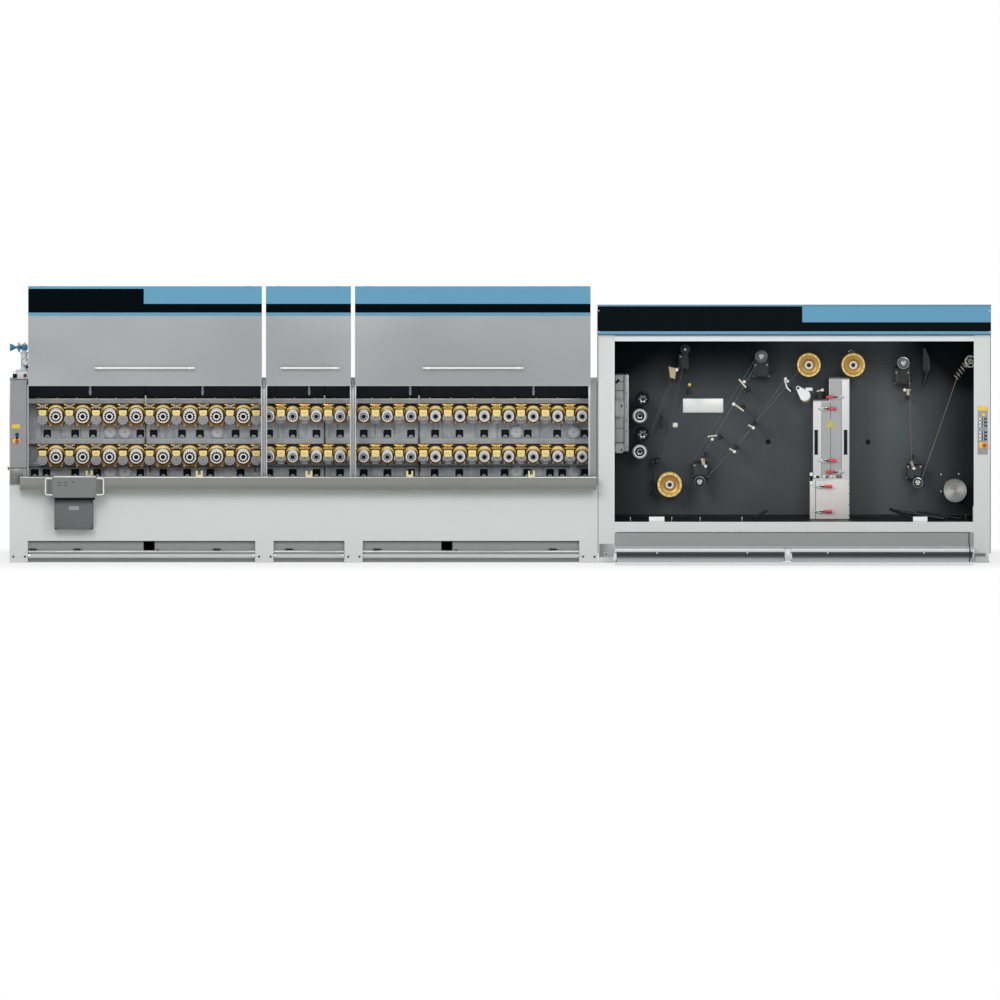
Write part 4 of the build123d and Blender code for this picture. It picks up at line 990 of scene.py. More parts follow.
# Grey bodies of the spray nozzles with a pale tip
with Piece("nozzle_bodies", "cast_metal", "spray_nozzles") as p:
    for x in (724, 1737, 2696, 3606, 4716):
        for top, low, radius, finish, sides in (
                (1606, 1530, 10, "lug_light", 12), (1545, 1512, 13, "cast_metal", 12),
                (1516, 1500, 7, "bright_steel", 10)):
            p.tube([(x, 200, top), (x, 200, low)], radius, finish, sides)


# Sill, doors and base of the drawing machine

# Round white door handles on stand-offs
BAR_Y, BAR_Z = -117, 1765
for i, (left, right) in enumerate(((774, 1665), (2444, 2964), (3726, 4621)), 1):
    with Piece(f"door_bar_{i}", "handle_white", f"door_handle_{i}") as p:
        p.tube([(x, BAR_Y + inwards, BAR_Z) for x, inwards in (
            (left, 5), (left + 4, 0), (left + 10, 0), (right - 10, 0), (right - 4, 0), (right, 5))],
            8, "handle_white", 12)
        for x in (left + 42, right - 42):
            p.tube([(x, BAR_Y, BAR_Z), (x, -75, BAR_Z)], 9, "handle_white", 12)
            p.tube([(x, -80, BAR_Z), (x, -75, BAR_Z)], 16, "stainless", 16)
            p.box(x - 11, x + 11, BAR_Y - 11, BAR_Y + 11, BAR_Z - 11, BAR_Z + 11, "handle_white", 5)

# Labels, knobs, stops and buttons on the posts of both machines
LEFT_POST, RIGHT_POST = 69, 8766
with Piece("post_fittings", "black_plastic", "control_buttons") as p:
    p.box(22, 96, 3, 9, 1210, 1249, "post_label", 2)
    p.turned(LEFT_POST, 1156, [(0, -10), (12, -10), (14, -7), (14, 4), (17, 4), (17, 9), (0, 9)],
             "blue_black", 16)
    p.disc(LEFT_POST, 1129, 12, -6, 9, "black_plastic", 14, (1, 3))
    p.box(32, 94, 2, 9, 1080, 1117, "button_yellow", 3)
    for x, z, front in ((LEFT_POST, 1098, 2), (RIGHT_POST + 8, 1062, -6)):
        p.turned(x, z, [(0, -34), (14, -32), (19, -25), (19, -16), (10, -10), (10, 0), (0, 0)],
                 "stop_red", 24, front)
    p.disc(LEFT_POST, 1098, 19, 0, 9, "yellow_plastic", 20)
    p.tube([(6, 100, 845), (-10, 100, 845)], 10, "knob_red", 12)
    p.tube([(-8, 100, 845), (-11, 100, 845), (-16, 100, 845), (-18, 100, 845)], 16, "knob_red", 16)
    p.box(8712, 8803, -3, 3, 977, 1370, "strip_grey", 2)
    p.box(8712, 8803, -6, 0, 1372, 1414, "yellow_plastic", 2)
    p.box(8726, 8796, -8, 0, 1036, 1088, "yellow_plastic", 3)
    p.turned(RIGHT_POST, 1337, [(0, -14), (12, -13), (14, -8), (14, -3), (0, -3)], "button_yellow", 16)
    for z in (1300, 1268, 1236, 1178, 1146, 1116):
        p.disc(RIGHT_POST, z, 13, -14, -3, "black_plastic", 14, (2, 4))
        p.boxes("white_plastic", 1, (8763, 8769, -18, -12, z - 11, z + 11), (8728, 8742, -5, -2, z - 8, z + 8))
        p.box(8782, 8796, -5, -2, z - 8, z + 8, "black_plastic", 1)

# Folded edges and seams of the stainless posts
with Piece("post_edges", "stainless") as p:
    for left, right in ((0, 162), (5220, 5292)):
        p.box(left + 1, left + 6, 3, 8.5, 785, 1643, "bright_steel", 1)
        p.box(right - 7, right - 2, 3, 8.5, 785, 1643, "dark_seam", 1)
    p.box(4, 158, 3, 8.5, 852, 858, "dark_seam", 1)
    p.box(9, 118, 4, 8.5, 712, 850, "leg_steel", 1)
    for x in (2291, 3092):
        p.box(x - 4, x + 4, 2, 8.5, 790, 1640, "bright_steel", 2)
        p.boxes("dark_seam", 0, *((a, a + 3, 4, 8.5, 790, 1640) for a in (x - 10, x + 7)))

# Console box, its back plate with two slots and its U-shaped handles
with Piece("console_body", "stainless", "operator_console") as p:
    p.plate([(398, 622), (410, 602), (766, 602), (778, 622), (788, 784), (780, 796), (395, 796), (387, 784)],
            -190, -131, "console_steel")
    p.box(396, 779, -193, -188, 783, 795, "bright_steel", 1)
    p.box(405, 771, -185, -131, 580, 603, "black_plastic", 3)
    for side, inner, outer in ((-1, 392, 326), (1, 783, 848)):
        left, right = sorted((inner, outer))
        p.plate(rectangle(left, right, 615, 769, 14), -142, -132, "console_steel",
                [rectangle(left + 22, right - 16, 640, 748, 8)])
        p.plate(rectangle(left + 14, right - 10, 632, 756, 6), -133, -131, "slot_grey")
        p.tube([(x, -160, z) for x, z in (
            (inner + side * 2, 772), (outer - side * 12, 772), (outer - side * 4, 768), (outer, 758),
            (outer, 640), (outer - side * 4, 630), (outer - side * 12, 625), (inner + side * 2, 625))],
            6, "handle_white", 10)
dots = [(x, -190, z) for x in (442, 460, 498, 516) for z in (738, 712)] + [(566, -190, 742), (578, -190, 742)]
screw_head.make("console_dots", dots, "dark_seam", "black_plastic", Radius=0.005, Height=0.0015)

# Grey box with a lipped lid, four screws and a blank plate
with Piece("junction_lid", "dark_grey_paint", "junction_box") as p:
    p.box(405, 756, -112, 0, 308, 577, "dark_grey_paint", 4)
    p.box(411, 750, -120, -111, 313, 572, "dark_grey_paint", 5)
    p.box(534, 628, -122, -119, 484, 520, "mid_grey_paint", 1)
    p.box(405, 756, -116, 0, 576, 582, "black_plastic", 1)
screw_head.make("junction_screws", [(x, -120, z) for x in (420, 741) for z in (322, 560)], "black_plastic",
                "black_plastic", Radius=0.007, Height=0.004)

# Blue valve with its flared handwheel and flanges, on the axis of the pale pipe below it
VALVE_Y, VALVE_Z = 205, 1930
PIPE_X = 131
GAUGE_X, GAUGE_Z = 142, 1805
with Piece("valve_parts", "blue_valve", "water_valve") as p:
    for x0, x1, radius, finish, sides in (
            (2, 14, 33, "blue_valve", 24), (50, 72, 11, "blue_valve", 16), (98, 110, 15, "black_plastic", 16),
            *((14 + i * 8, 23 + i * 8, 30 - i * 4.5, "blue_valve", 20) for i in range(5))):
        p.tube([(x0, VALVE_Y, VALVE_Z), (x1, VALVE_Y, VALVE_Z)], radius, finish, sides)
    p.boxes("blue_valve", 4, (70, 100, 180, 230, 1908, 1952), (108, 162, 176, 234, 1906, 1954))
    for z in (VALVE_Z + 32, VALVE_Z - 32):
        for x in (84, 134):
            p.tube([(x - 13, VALVE_Y, z), (x + 13, VALVE_Y, z)], 10, "handle_white", 12)
            p.tube([(x, VALVE_Y, z - 10), (x, VALVE_Y, z + 10)], 12, "bright_steel", 12)
    p.tube([(70, VALVE_Y, VALVE_Z + 32), (160, VALVE_Y, VALVE_Z + 32)], 5, "bright_steel", 10)
    p.tube([(PIPE_X, VALVE_Y, 1882), (PIPE_X, VALVE_Y, 1912)], 20, "pale_pipe", 16)

# Pale pipe with its gauge, and the padlock on its block
with Piece("pipe_parts", "pale_pipe", "liquid_pipe") as p:
    for low, high, radius in ((1723, 1890, 31), (1726, 1736, 38), (1878, 1888, 38)):
        p.tube([(PIPE_X, VALVE_Y, low), (PIPE_X, VALVE_Y, high)], radius, "pale_pipe", 24)
    p.turned(GAUGE_X, GAUGE_Z, [(0, 138), (27, 138), (27, 140), (34, 140), (36, 144), (36, 172), (0, 172)],
             "white_plastic", 28)
    p.hoop(GAUGE_X, GAUGE_Z, 29, 34, 137, 142, "strip_grey", 28)
    p.tube([(GAUGE_X, 135, GAUGE_Z), (GAUGE_X + 14, 135, GAUGE_Z + 21)], 2.2, "black_plastic", 6)
    for i in range(7):
        c, s = cos(radians(220 - i * 43)), sin(radians(220 - i * 43))
        p.tube([(GAUGE_X + r * c, 136.5, GAUGE_Z + r * s) for r in (21, 26)], 1.6, "black_plastic", 5)
    p.disc(157, 1757, 15, 146, 172, "blue_black", 16, (3, 4))
    p.box(63, 190, 150, 260, 1648, 1723, "white_plastic", 5)
    p.box(56, 196, 146, 264, 1716, 1727, "pale_pipe", 3)
    p.disc(138, 1680, 16, 138, 150, "seam_red", 16, (3, 4))
    p.box(28, 66, 130, 158, 1657, 1696, "black_plastic", 4)
    p.tube([(x, 144, z) for x, z in ((35, 1694), (35, 1710), (40, 1716), (54, 1716), (59, 1710), (59, 1694))],
           4.5, "handle_white", 8)

# Perforated floor pipes, their clips and the edges of the set-back panels
with Piece("skirt_edges", "mid_grey_paint") as p:
    for left, right in SKIRTS:
        p.box(left + 2, right - 2, 6, 12, 96, 107, "bright_steel", 2)
        p.box(left + 2, right - 2, 34, 41, 190, 197, "dark_seam")
        # Strip under each floor pipe, darkened by foot_shade: painted shade.
        p.box(left + 2, right - 2, 34, 40, 4, 40, "foot_face")
        p.tube([(left + 4, 30, 61), (right - 4, 30, 61)], 24, "pipe_pale", 18)
        for x in (left + 10, right - 10):
            p.tube([(x - 6, 30, 61), (x + 6, 30, 61)], 26, "bright_steel", 18)
    for x in (210, 610, 1866, 2516, 3310, 4892):
        for centre in (x - 14, x + 14):
            p.hoop(centre, 118, 7, 12, 26, 32, "black_plastic", 14)
        p.box(x - 44, x + 44, 29, 32, 116, 121, "black_plastic", 1)
    for x in (1335, 4020):
        p.disc(x, 114, 8, 30, 38, "dark_seam", 12)
for i, (left, right) in enumerate(SKIRTS, 1):
    wide = (right - left - 40) / 1000
    perforated_strip.make(f"floor_pipe_holes_{i}", [((left + right) / 2, 6, 61)], "pipe_pale", "stainless",
                          Length=wide, Height=0.022, Holes=round(wide / 0.027), Hole_Width=0.016,
                          Hole_Height=0.011, Thickness=0.0015)
screw_head.make("foot_bolts", [(x, 0, 56) for x in (34, 138, 2246, 2350, 3049, 3149, 5162, 5266)], "dark_seam",
                "black_plastic", Radius=0.009, Height=0.005)

# Bright folded edge of the sill and its end cap
with Piece("sill_edges", "stainless") as p:
    p.box(96, 5281, -132, -126, 776, 784, "bright_steel", 2)
    p.box(96, 5281, -131, -127, 667, 673, "sill_steel", 1)
    p.box(94, 99, -129, -22, 668, 780, "bright_steel", 1)


# Annealer

# Contact wheels and rollers: x, z, radius
CONTACT_WHEELS = ((7198, 1754, 106), (7598, 1754, 106), (5944, 672, 111))
INLET_ROLLERS = ((5702, 1445, 57), (5675, 1296, 69), (5701, 1125, 58), (5675, 972, 69))
RINGED_ROLLER = 69

# Guide sheaves: x, z, radius, finishes of face and rim, then left, right, low and high edge of the pedestal
SHEAVES = (
    (6083, 1895, 45, "sheave_dark", "bracket_grey", 6026, 6104, 1716, 1846),
    (6769, 1832, 57, "sheave_face", "sheave_grey", 6700, 6838, 1640, 1790),
    (8050, 1773, 54, "sheave_face", "roller_steel", 7972, 8108, 1572, 1724),
    (6214, 700, 50, "sheave_dark", "sheave_grey", 6152, 6292, 734, 868),
    (8180, 693, 45, "sheave_dark", "roller_steel", 8078, 8222, 722, 846),
)

# Gold contact wheels: bright rim with dark ticks, brushed dish, white hub and open bore
for i, (x, z, r) in enumerate(CONTACT_WHEELS, 1):
    with Piece(f"gold_wheel_{i}", "gold", f"contact_wheel_{i}") as p:
        p.turned(x, z, [(36, 484), (40, 480), (66, 470), (88, 459), (92, 455), (92, 464), (r - 8, 468),
                        (r - 18, 472), (r - 18, 546), (r - 8, 551), (r, 556), (r, 568), (r - 2, 570),
                        (20, 570), (20, 486)], "wheel_gold", 48)
        p.turned(x, z, [(89, 452), (91, 450), (r - 2, 450), (r, 452), (r, 462), (r - 6, 466), (89, 466)],
                 "wheel_rim", 48)
        p.turned(x, z, [(18.5, 452), (22, 446), (34, 446), (38, 450), (38, 480), (18.5, 480)],
                 "white_ceramic", 32)
        for c, s in around(12, 0.2):
            p.add([(x + c * q - s * w, y, z + s * q + c * w) for y in (449, 452) for q in (93, r - 3)
                   for w in (-2.5, 2.5)], BOX_FACES, "die_brown")

# Steel outlet drum with a brushed face and a raised rim
with Piece("steel_drum", "drum_steel", "outlet_drum") as p:
    p.turned(8518, 617, [(0, 458), (14, 458), (16, 455), (84, 455), (88, 450), (100, 450), (104, 454),
                         (104, 470), (98, 474), (98, 562), (104, 566), (104, 570), (0, 570)], "drum_face", 48)

# Small wheel with a thin rim and five spokes
with Piece("wheel_with_spokes", "roller_steel", "spoked_wheel") as p:
    x, z = 8656, 1786
    p.turned(x, z, [(45, 450), (54, 450), (56, 454), (56, 486), (54, 490), (45, 490), (48, 470)],
             "roller_steel", 36)
    p.turned(x, z, [(12.5, 448), (20, 448), (22, 452), (22, 488), (20, 492), (12.5, 492)], "roller_steel")
    for c, s in around(5, 0.3):
        p.tube([(x + r * c, 468, z + r * s) for r in (20, 48)], 4.5, "roller_steel")

# Dark guide sheaves, all but the first with a bright hub and three bolts
for i, (x, z, r, face, rim, *_) in enumerate(SHEAVES, 1):
    hub, hub_finish, count = (15, "sheave_grey", 0) if i == 1 else (24, "clamp_bright", 3)
    with Piece(f"sheave_wheel_{i}", "sheave_grey", f"guide_sheave_{i}") as p:
        p.turned(x, z, [(12.5, 452), (r - 10, 456), (r - 6, 450), (r, 452), (r - 2, 458), (r - 13, 468),
                        (r - 13, 472), (r - 2, 482), (r, 488), (r - 6, 490), (12.5, 488)], face, 36)
        p.turned(x, z, [(r - 5, 449), (r - 1, 450), (r - 1, 453), (r - 5, 453)], rim, 36)
        p.hoop(x, z, 12.5, hub, 444, 456, hub_finish, slope=(2, 3))
        for c, s in around(3, pi / 2)[:count]:
            p.disc(x + 18 * c, z + 18 * s, 4.5, 442, 446, "black_plastic", 10)

# Four grooved rollers: small dark ones, and larger ones with a white ring on the front
for i, (x, z, r) in enumerate(INLET_ROLLERS, 1):
    ringed = r == RINGED_ROLLER
    groove, bolts = ("sheave_grey", "die_brown") if ringed else ("sheave_dark", "bright_steel")
    with Piece(f"roller_wheel_{i}", "roller_steel", f"inlet_roller_{i}") as p:
        p.turned(x, z, [(18.5, 462), (r - 16, 462), (r - 10, 454), (r - 4, 450), (r, 454), (r, 462),
                        (r - 8, 474), (r - 8, 536), (r, 548), (r, 558), (r - 3, 560), (18.5, 560)], groove, 40)
        if ringed:
            p.turned(x, z, [(r - 27, 452), (r - 25, 446), (r - 15, 446), (r - 13, 450), (r - 13, 464),
                            (r - 27, 464)], "guide_ball", 36)
            p.hoop(x, z, 18.5, r - 27, 463, 454, "black_plastic", 28)
            p.hoop(x, z, r - 9, r - 5, 449, 452, "roller_steel", 36)
        p.turned(x, z, [(18.5, 448), (24, 446), (27, 450), (27, 462), (18.5, 462)], "roller_steel")
        for c, s in around(6):
            p.disc(x + (r - 24) * c, z + (r - 24) * s, 3.5, 459, 463, bolts, 8)

# Cast pedestals of the sheaves, with their foot plates and bolts
bolts = []
with Piece("bracket_castings", "black_metal", "sheave_brackets") as p:
    for x, z, _, _, _, left, right, low, high in SHEAVES:
        p.plate(rectangle(left, right, low, high, 8), 560, BACK, "black_metal")
        p.plate(rectangle(left - 8, right + 14, low - 10, low + 26, 5), 600, BACK, "black_metal")
        p.plate(mirrored(x, 0, (24, z), (34, low + 10)), 500, 562, "black_metal")
        p.plate(rectangle(left + 14, right - 14, low + 22, high - 16, 6), 555, 561, "bracket_grey")
        p.disc(x, z, 34, 498, 564, "black_metal", 20, (4, 4))
        p.disc(x, z, 11, 440, 500, "bright_steel", 14, (2, 4))
        bolts += [(a, 600, low + 6) for a in (left + 4, right - 4)]
        bolts += [(a, 560, low + 108) for a in (left + 16, right - 16)]
screw_head.make("bracket_bolts", bolts, "roller_steel", "clamp_steel", Radius=0.008, Height=0.006)

# Bearing cases and pins behind the wheels: x, z, radius of pin and case, front of the case, front of the pin
with Piece("spindle_cases", "black_metal", "spindles") as p:
    for x, z, pin, case, front, nose in (
            *((x, z, 18, 74 if z == 672 else 70, 574, 450) for x, z, _ in CONTACT_WHEELS),
            *((x, z, 18, 50 if r == RINGED_ROLLER else 44, 564, 450) for x, z, r in INLET_ROLLERS),
            (8518, 617, 18, 70, 574, 470), (8656, 1786, 12, 34, 496, 448)):
        p.turned(x, z, [(0, BACK), (case + 14, BACK), (case + 14, 686), (case, 680),
                        (case, front + 6), (case - 6, front), (0, front)], "black_metal", 32)
        p.turned(x, z, [(0, front + 4), (pin - 0.5, front + 4), (pin - 0.5, nose + 4), (pin - 6, nose),
                        (0, nose)], "sheave_dark", 20)

# Wire guides: white balls and cream bars on black arms, and the teardrop lever
with Piece("guide_parts", "guide_white", "wire_guides") as p:
    for x, z, wide, high, turn in (
            # Black rounded arms that stand out of the wall
            (5990, 1628, 34, 92, 0.15), (6115, 1505, 26, 62, 0), (6646, 1524, 32, 58, 1.0),
            (6600, 1366, 32, 60, 0.6), (7036, 1526, 26, 52, -0.5), (6712, 1222, 32, 40, 0.2),
            (6544, 1008, 32, 40, 0.2), (6402, 1098, 30, 46, 1.1), (6268, 940, 26, 44, 0),
            (8086, 1452, 34, 40, 0), (8132, 918, 26, 44, 0)):
        across, up = sin(turn) * high / 2, cos(turn) * high / 2
        p.tube([(x - across, 505, z - up), (x + across, 505, z + up)], wide / 2, "black_metal", 12)
        p.tube([(x, 500, z), (x, BACK, z)], wide / 2.4, "black_metal", 12)
        p.disc(x - across, z - up, wide / 4, 486, 500, "bracket_grey", 10)
    for x0, z0, x1, z1, thick in (
            # Cream bars
            (6569, 1624, 6632, 1548, 8), (6516, 1408, 6610, 1338, 8), (6652, 1212, 6694, 1188, 8),
            (6482, 998, 6524, 972, 8), (6286, 1106, 6372, 1116, 7), (7270, 1516, 7316, 1526, 6),
            (8066, 1528, 8116, 1528, 6)):
        p.tube([(x0, 480, z0), (x1, 486, z1)], thick, "guide_white", 10)
    for x, z, radius in (
            # Balls
            (6007, 1710, 17), (6123, 1576, 15), (5992, 1213, 12), (6616, 1602, 15), (6521, 1400, 17),
            (6988, 1628, 15), (7008, 1606, 13), (6698, 1186, 16), (6528, 970, 16), (6328, 1082, 15),
            (6268, 838, 15), (7320, 1528, 15), (8062, 1528, 15), (8146, 818, 16)):
        p.ball(x, 470, z, radius, "button_yellow" if x == 6123 else "guide_ball", 16)
        p.tube([(x, 470, z), (x, 505, z)], 5, "bright_steel")
    for outline in ([(5934, 1740), (5948, 1640), (5992, 1628), (6002, 1722)],
                    [(6224, 912), (6236, 852), (6264, 846), (6258, 906)],
                    [(8110, 884), (8122, 842), (8146, 834), (8134, 880)]):
        p.plate(outline, 470, 482, "guide_tan")
    p.plate(rectangle(8080, 8108, 1480, 1524, 4), 474, 486, "guide_tan")
    p.plate(rectangle(5972, 6016, 1192, 1232, 12), 470, 486, "guide_white")
    p.tube([(6980, 480, 1622), (7000, 482, 1550), (7034, 484, 1515)], 7, "guide_ball", 10)
    p.box(7278, 7318, 560, BACK, 1438, 1516, "bracket_grey", 5)
    tip, head = (7101, 1545), (7160, 1480)
    slope = atan2(head[1] - tip[1], head[0] - tip[0])
    for (x, z), point, y0, y1, finish in (
            (head, 19, 470, 500, "white_plastic"), ((7166, 1466), 15, 484, 506, "lever_edge")):
        tear = circle(x, z, 50, 16, slope - pi / 2, pi) + circle(*tip, point, 8, slope + pi / 2, pi)
        p.plate(tear, y0, y1, finish)
    p.disc(*tip, 12, 463, 471, "black_metal", 14, (3, 4))
    p.box(7168, 7232, 474, 500, 1520, 1548, "white_plastic", 4)
    p.disc(7160, 1463, 24, 500, BACK, "black_metal", 16)
    for x, z, r in ((5794, 873, 20), (5838, 880, 24), (5790, 690, 13), (5792, 577, 12)):
        p.disc(x, z, r, 566, BACK, "black_metal", 16, (4, 6))
    for a, b, radius, sides in (
            ((5872, 600, 1290), (5872, 600, 1170), 12, 12), ((5872, 590, 1230), (5872, BACK, 1230), 16, 12),
            ((5794, 590, 873), (5792, 590, 577), 7, 10), ((5790, 590, 850), (5850, 590, 900), 9, 10)):
        p.tube([a, b], radius, "black_metal", sides)

# Annealing column: light covers, brushed middle, slots, hinge and latches
with Piece("column_parts", "column_steel", "annealing_column") as p:
    p.boxes("column_steel", 3, (7236, 7384, 352, BACK, 724, 1433), (7380, 7562, 352, BACK, 724, 1631))
    p.plate([(7314, 742), (7488, 742), (7488, 1626), (7386, 1626), (7386, 1428), (7314, 1428)], 347, 353,
            "column_dark")
    p.boxes("slot_grey", 0, (7310, 7313, 348, 353, 742, 1428), (7489, 7492, 348, 353, 742, 1626))
    for left in (7245, 7510):
        p.box(left, left + 36, 349, 354, 951, 1176, "black_plastic", 1)
        for x, finish in ((1, "column_steel"), (12, "dark_seam"), (23, "dark_seam"), (33, "column_steel")):
            p.box(left + x, left + x + 2, 346, 352, 955, 1172, finish)
    p.plate([(7348, 1198), (7432, 1198), (7390, 1276)], 343, 348, "label_yellow")
    p.box(7207, 7562, 350, BACK, 371, 722, "lower_cover", 3)
    p.boxes("dark_seam", 0, (7391, 7394, 345.5, 348, 745, 1424), (7256, 7260, 347.5, 351, 374, 720),
            *((7550, 7557, 346, 351, z, z + 7) for z in (402, 500, 600, 690)))
    p.box(7207, 7562, 347, 352, 716, 724, "bright_steel", 1)
    p.box(7240, 7262, 340, 350, 738, 764, "bright_steel", 2)
    p.box(7246, 7292, 343, 350, 742, 760, "dark_seam", 1)
    for x in (7332, 7362, 7396, 7424, 7458, 7482):
        p.box(x - 9, x + 9, 338, 350, 742, 764, "die_brown" if x % 4 else "bright_steel", 2)
    p.boxes("handle_white", 3, (7206, 7232, 338, 352, 680, 712), (7206, 7232, 338, 352, 760, 790))
    p.box(7208, 7230, 340, 352, 716, 756, "black_plastic", 2)

# Toggle clamps: x, z and side of the grip
with Piece("clamp_parts", "clamp_steel", "toggle_clamps") as p:
    for x, z, side in ((7464, 1474, -1), (7332, 1368, 1), (7332, 899, 1), (7464, 797, -1), (7297, 666, 1),
                       (7297, 440, 1)):
        near, far = sorted((x + side * 46, x + side * 112))
        p.tube([(near, 322, z), (far, 322, z)], 13, "grip_red", 12)
        p.tube([(x, 324, z), (x + side * 50, 322, z)], 6, "black_metal")
        p.turned(x, z, [(0, 326), (7, 326), (7, 322), (15, 322), (19, 326), (19, 350), (0, 350)],
                 "clamp_bright", 16)
        p.box(x - 26, x + 26, 336, 350, z - 12, z + 12, "clamp_bright", 3)
        p.box(x - side * 2 - 5, x - side * 2 + 5, 320, 330, z - 4, z + 4, "black_metal", 1)
        p.tube([(x - side * 18, 334, z), (x - side * 42, 334, z)], 4, "clamp_bright")
        p.ball(x - side * 44, 334, z, 8, "clamp_bright", 10)

# Inlet guide box with its bright plate, rounded covers and dark slot
with Piece("entry_parts", "entry_grey", "entry_unit") as p:
    p.box(5446, 5533, 520, BACK, 974, 1660, "entry_grey", 4)
    p.box(5533, 5575, 505, BACK, 972, 1662, "entry_plate", 3)
    p.boxes("dark_seam", 0, *((5446, 5533, 517, 523, z - 2, z + 2) for z in (1600, 1520, 1330, 1180, 1050)))
    for low, high in ((1284, 1436), (958, 1040)):
        p.plate(rectangle(5446, 5530, low, high, 26, 4), 470, 524, "entry_light")
        p.plate(rectangle(5452, 5514, low + 12, high - 14, 18, 4), 458, 472, "entry_light")
        p.tube([(5516, 455, high - 40), (5508, 455, high - 66)], 5, "black_metal")
    p.tube([(5462, 514, 1590), (5488, 512, 1618)], 10, "black_plastic", 10)
    for z in (1010, 1150, 1250, 1380, 1500, 1620):
        p.disc(5556, z, 5, 502, 506, "dark_seam", 10)
    p.box(5454, 5520, 515, 523, 1455, 1512, "entry_light", 2)

# Blank plate, wall holes, bolts, fan plate, coil of rings, pads, studs and struts of the cabinet
with Piece("cabinet_parts", "dark_panel") as p:
    p.box(6064, 6428, 692, BACK, 1309, 1435, "plate_bright", 3)
    p.box(6078, 6414, 690, 693, 1321, 1423, "plate_bright", 1)
    for x, z in ((6833, 1045), (7733, 1043)):
        p.turned(x, z, [(0, 697), (20, 697), (23, 700), (0, 700)], "black_plastic", 20)
    for x, z in ((7579, 1870), (7601, 1858), (8394, 750), (8552, 754), (8392, 596), (7560, 1862)):
        p.disc(x, z, 8, 688, BACK, "clamp_bright", 12, (2, 3))
    p.disc(8438, 692, 6, 686, BACK, "stop_red", 10)
    p.plate([(8228, 1886), (8240, 1896), (8284, 1800), (8282, 1668), (8256, 1648), (8226, 1700)], 628, 640,
            "fan_dark")
    p.tube([(8228, 627, 1890), (8240, 627, 1896), (8284, 627, 1800), (8282, 627, 1668)], 3.5, "dark_grey_paint")
    p.tube([(8270, 620, 1690), (8240, 620, 1568)], 17, "black_metal", 12)
    p.tube([(8255, 620, 1630), (8255, BACK, 1630)], 20, "black_metal", 12)
    start, end, across = Vector((8527, 500, 1640)), Vector((8640, 470, 1800)), Vector((0, 1, 0))
    along = (end - start).normalized()
    side = along.cross(across).normalized()
    for i in range(7):
        middle = start + (end - start) * i / 6
        p.tube([middle + side * (24 + i) * c + across * (24 + i) * s + along * 7 * c for c, s in around(20)],
               4, "clamp_bright" if i % 2 else "guide_tan", 8, True)
    p.tube([start, end], 8, "black_metal", 10)
    p.boxes("white_plastic", 4, (5756, 5895, 6, 70, 370, 414), (8132, 8262, 6, 70, 370, 414))
    for x in (5589, 5961, 6217, 6593):
        p.disc(x, 400, 5, 112, 128, "clamp_bright", 10)
        p.tube([(x, 120, 369), (x, 120, 398)], 3.5, "clamp_bright")
    p.tube([(6700, 240, 384), (6818, 300, 452)], 12, "black_metal", 10)
    for a, b in (((7930, 420, 455), (8150, 200, 384)), ((7990, 420, 440), (8420, 200, 384)),
                 ((8180, 500, 420), (8560, 220, 384))):
        p.tube([a, b], 13, "floor_black", 10)
    for x in range(8340, 8640, 44):
        y = 300 + x % 7 * 20
        p.box(x, x + 12, y, y + 20, 370, 386 + x % 5 * 6, "bracket_grey", 2)
    p.box(8672, 8678, 20, 120, 370, 505, "handle_white", 2)
    p.box(5452, 8672, 676, 699, 384, 392, "bracket_grey", 2)
    p.box(5446, 5452, 120, 690, 372, 1990, "dark_seam")

# Fine wire strung from guide to guide through the cabinet
with Piece("strung_wires", "clamp_steel") as p:
    for a, b in (((6091, 505, 1860), (5882, 520, 921)), ((5952, 520, 1627), (5775, 520, 1148)),
                 ((6018, 520, 1720), (5740, 520, 1040)), ((6718, 505, 1812), (6142, 520, 858)),
                 ((6735, 510, 1780), (6318, 510, 1040)), ((6700, 512, 1700), (6240, 520, 930)),
                 ((6975, 505, 1608), (6558, 505, 1010)), ((6558, 505, 1010), (6262, 505, 722)),
                 ((7110, 520, 1700), (6700, 510, 1200)), ((6700, 510, 1200), (6300, 510, 760))):
        p.tube([a, b], 1.5, "wire_grey", 6)
    for a, b in (((8098, 470, 1770), (8130, 470, 730)), ((8216, 470, 720), (8535, 490, 1642))):
        p.tube([a, b], 2.6, "wire_brown", 6)
    for i in range(4):
        p.tube([(7690, 480 + i * 20, 1850 - i * 27), (8000, 480, 1826 - i * 22)], 3, "wire_dark", 6)

# Rivets and folded edge of the fascia
with Piece("fascia_edges", "black_blue_paint") as p:
    p.box(5290, 8831, -30.5, -27, 2315, 2322, "edge_blue", 1)
screw_head.make("fascia_rivets", [(x, -30, z) for x in (5303, 8818) for z in (2277, 2088)], "bright_steel",
                "clamp_steel", Radius=0.006, Height=0.003)

# Bright folded edges of the annealer's front and its foot boxes with bolts
with Piece("annealer_edges", "light_grey_paint") as p:
    p.boxes("edge_white", 2, (5436, 5444, -3, 4, 369, 1998), (8680, 8686, -3, 4, 369, 1998),
            (5444, 8680, -3, 4, 362, 369))
    p.boxes("dark_seam", 0, (5295, 5299, -1.5, 4, 90, 2050), (8826, 8830, -1.5, 4, 90, 2050),
            (5462, 8652, -3, 2, 272, 277))
    p.boxes("light_grey_paint", 2, (5304, 5440, 2, 90, 0, 12), (8684, 8820, 2, 90, 0, 12))
    # Face of the left foot box, darker towards its left: painted shade.
    p.box(5309, 5438, -2, 2, 54, 171, "foot_face")
    p.disc(5371, 78, 13, -9, 0, "slot_grey", 6, (2, 3))
    p.disc(5371, 78, 19, -4, 0, "bright_steel", 18)
    p.box(8684, 8786, -2, 2, 56, 88, "mid_grey_paint")
    for x in (8698, 8724, 8750, 8772):
        p.disc(x, 72, 8, -7, 0, "slot_grey", 6, (2, 3))

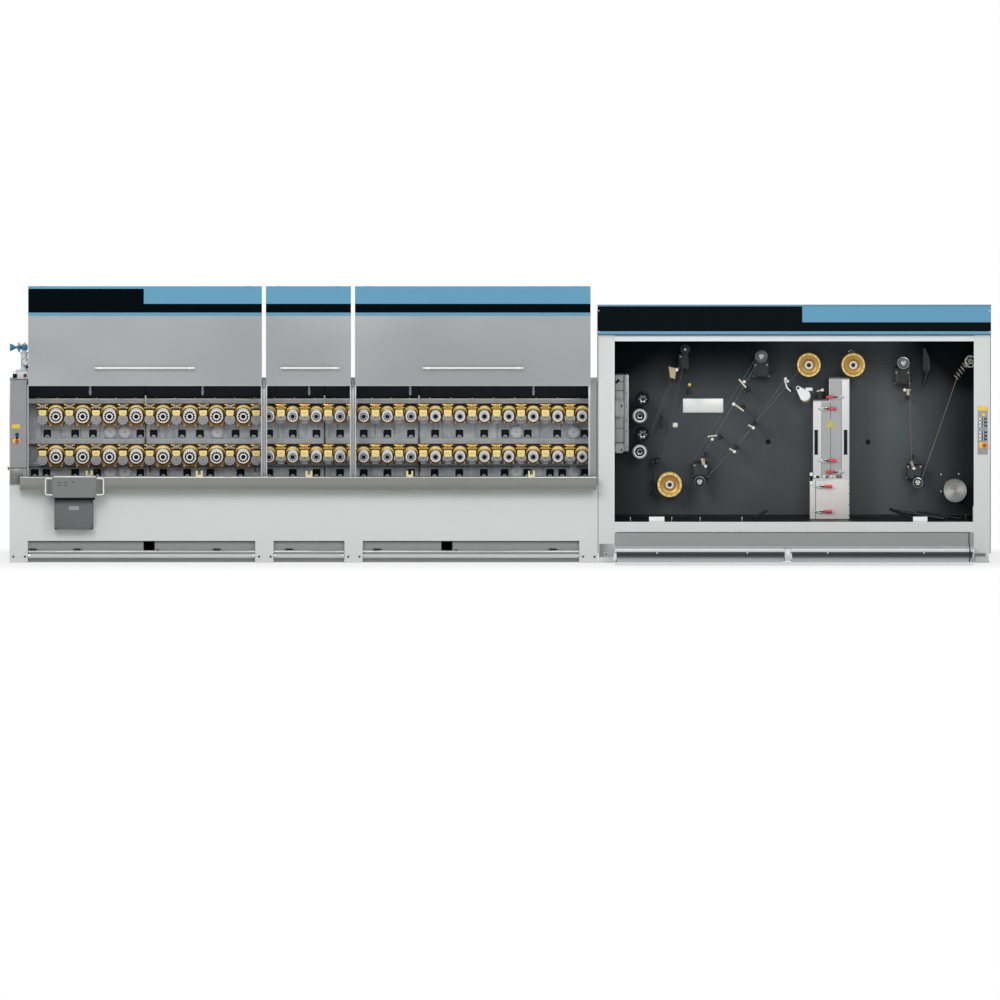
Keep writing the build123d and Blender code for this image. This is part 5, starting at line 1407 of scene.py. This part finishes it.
# Step: front strips, small knobs and the curved edge of its end plate
with Piece("step_edges", "step_steel") as p:
    for left, right in ((5462, 6966), (7040, 8664)):
        p.box(left, right, -302, -296, 119, 146, "step_steel", 2)
        p.box(left, right, -303, -297, 134, 147, "edge_white", 1)
        # Plate under each tread, darker towards the tread: painted shade beneath the step.
        p.box(left, right, -290, -270, 31, 117, "under_step")
    for x in (5828, 6639, 7362, 8226):
        p.ball(x, -296, 110, 7, "edge_white", 10)
    p.box(6975, 7031, -303, -297, 34, 146, "step_steel", 4)
    p.boxes("edge_white", 3, (6992, 7014, -306, -300, 84, 126), (6960, 7046, -337, -300, 30, 40))
    p.tube([(8634, -335, 34), (8646, -330, 90), (8640, -310, 150), (8632, -200, 210), (8636, -60, 268)], 5,
           "dark_seam")

# Perforated tread and slotted floor plate, which lie flat
FLAT = dict(finish="step_steel", slot="step_steel", Thickness=0.0015, Tilt=0.0)
for i, (left, right) in enumerate(((5470, 6960), (7046, 8656)), 1):
    for k, y in enumerate((-250, -190, -130, -70), 1):
        perforated_strip.make(f"tread_holes_{i}_{k}", [((left + right) / 2, y, 146)], Height=0.050,
                              Length=(right - left) / 1000, Holes=round((right - left) / 30), Hole_Width=0.012,
                              Hole_Height=0.024, **FLAT)
perforated_strip.make("floor_slots", [(7067, -322, 30.5)], Height=0.030, Length=3.18, Holes=32,
                      Hole_Width=0.048, Hole_Height=0.014, **FLAT)

# Rear covers with rounded edges, and the screws along them
screws = []
with Piece("rear_panels", "light_grey_paint", "rear_covers") as p:
    for left, right, low, high in ((84, 2292, 720, 1520), (2296, 3095, 720, 1520), (3099, 5208, 720, 1520),
                                   (5344, 6487, 389, 2038), (6491, 7634, 389, 2038), (7638, 8780, 389, 2038)):
        p.box(left, right, 1499, 1508, low, high, "light_grey_paint", 3)
        count = round((right - left) / 260)
        screws += [(left + 20 + i * (right - left - 40) / count, 1508, z)
                   for i in range(count + 1) for z in (low + 20, high - 20)]
screw_head.make("rear_screws", screws, "bright_steel", "clamp_steel", Radius=0.008, Height=0.004, Tilt=-pi / 2)
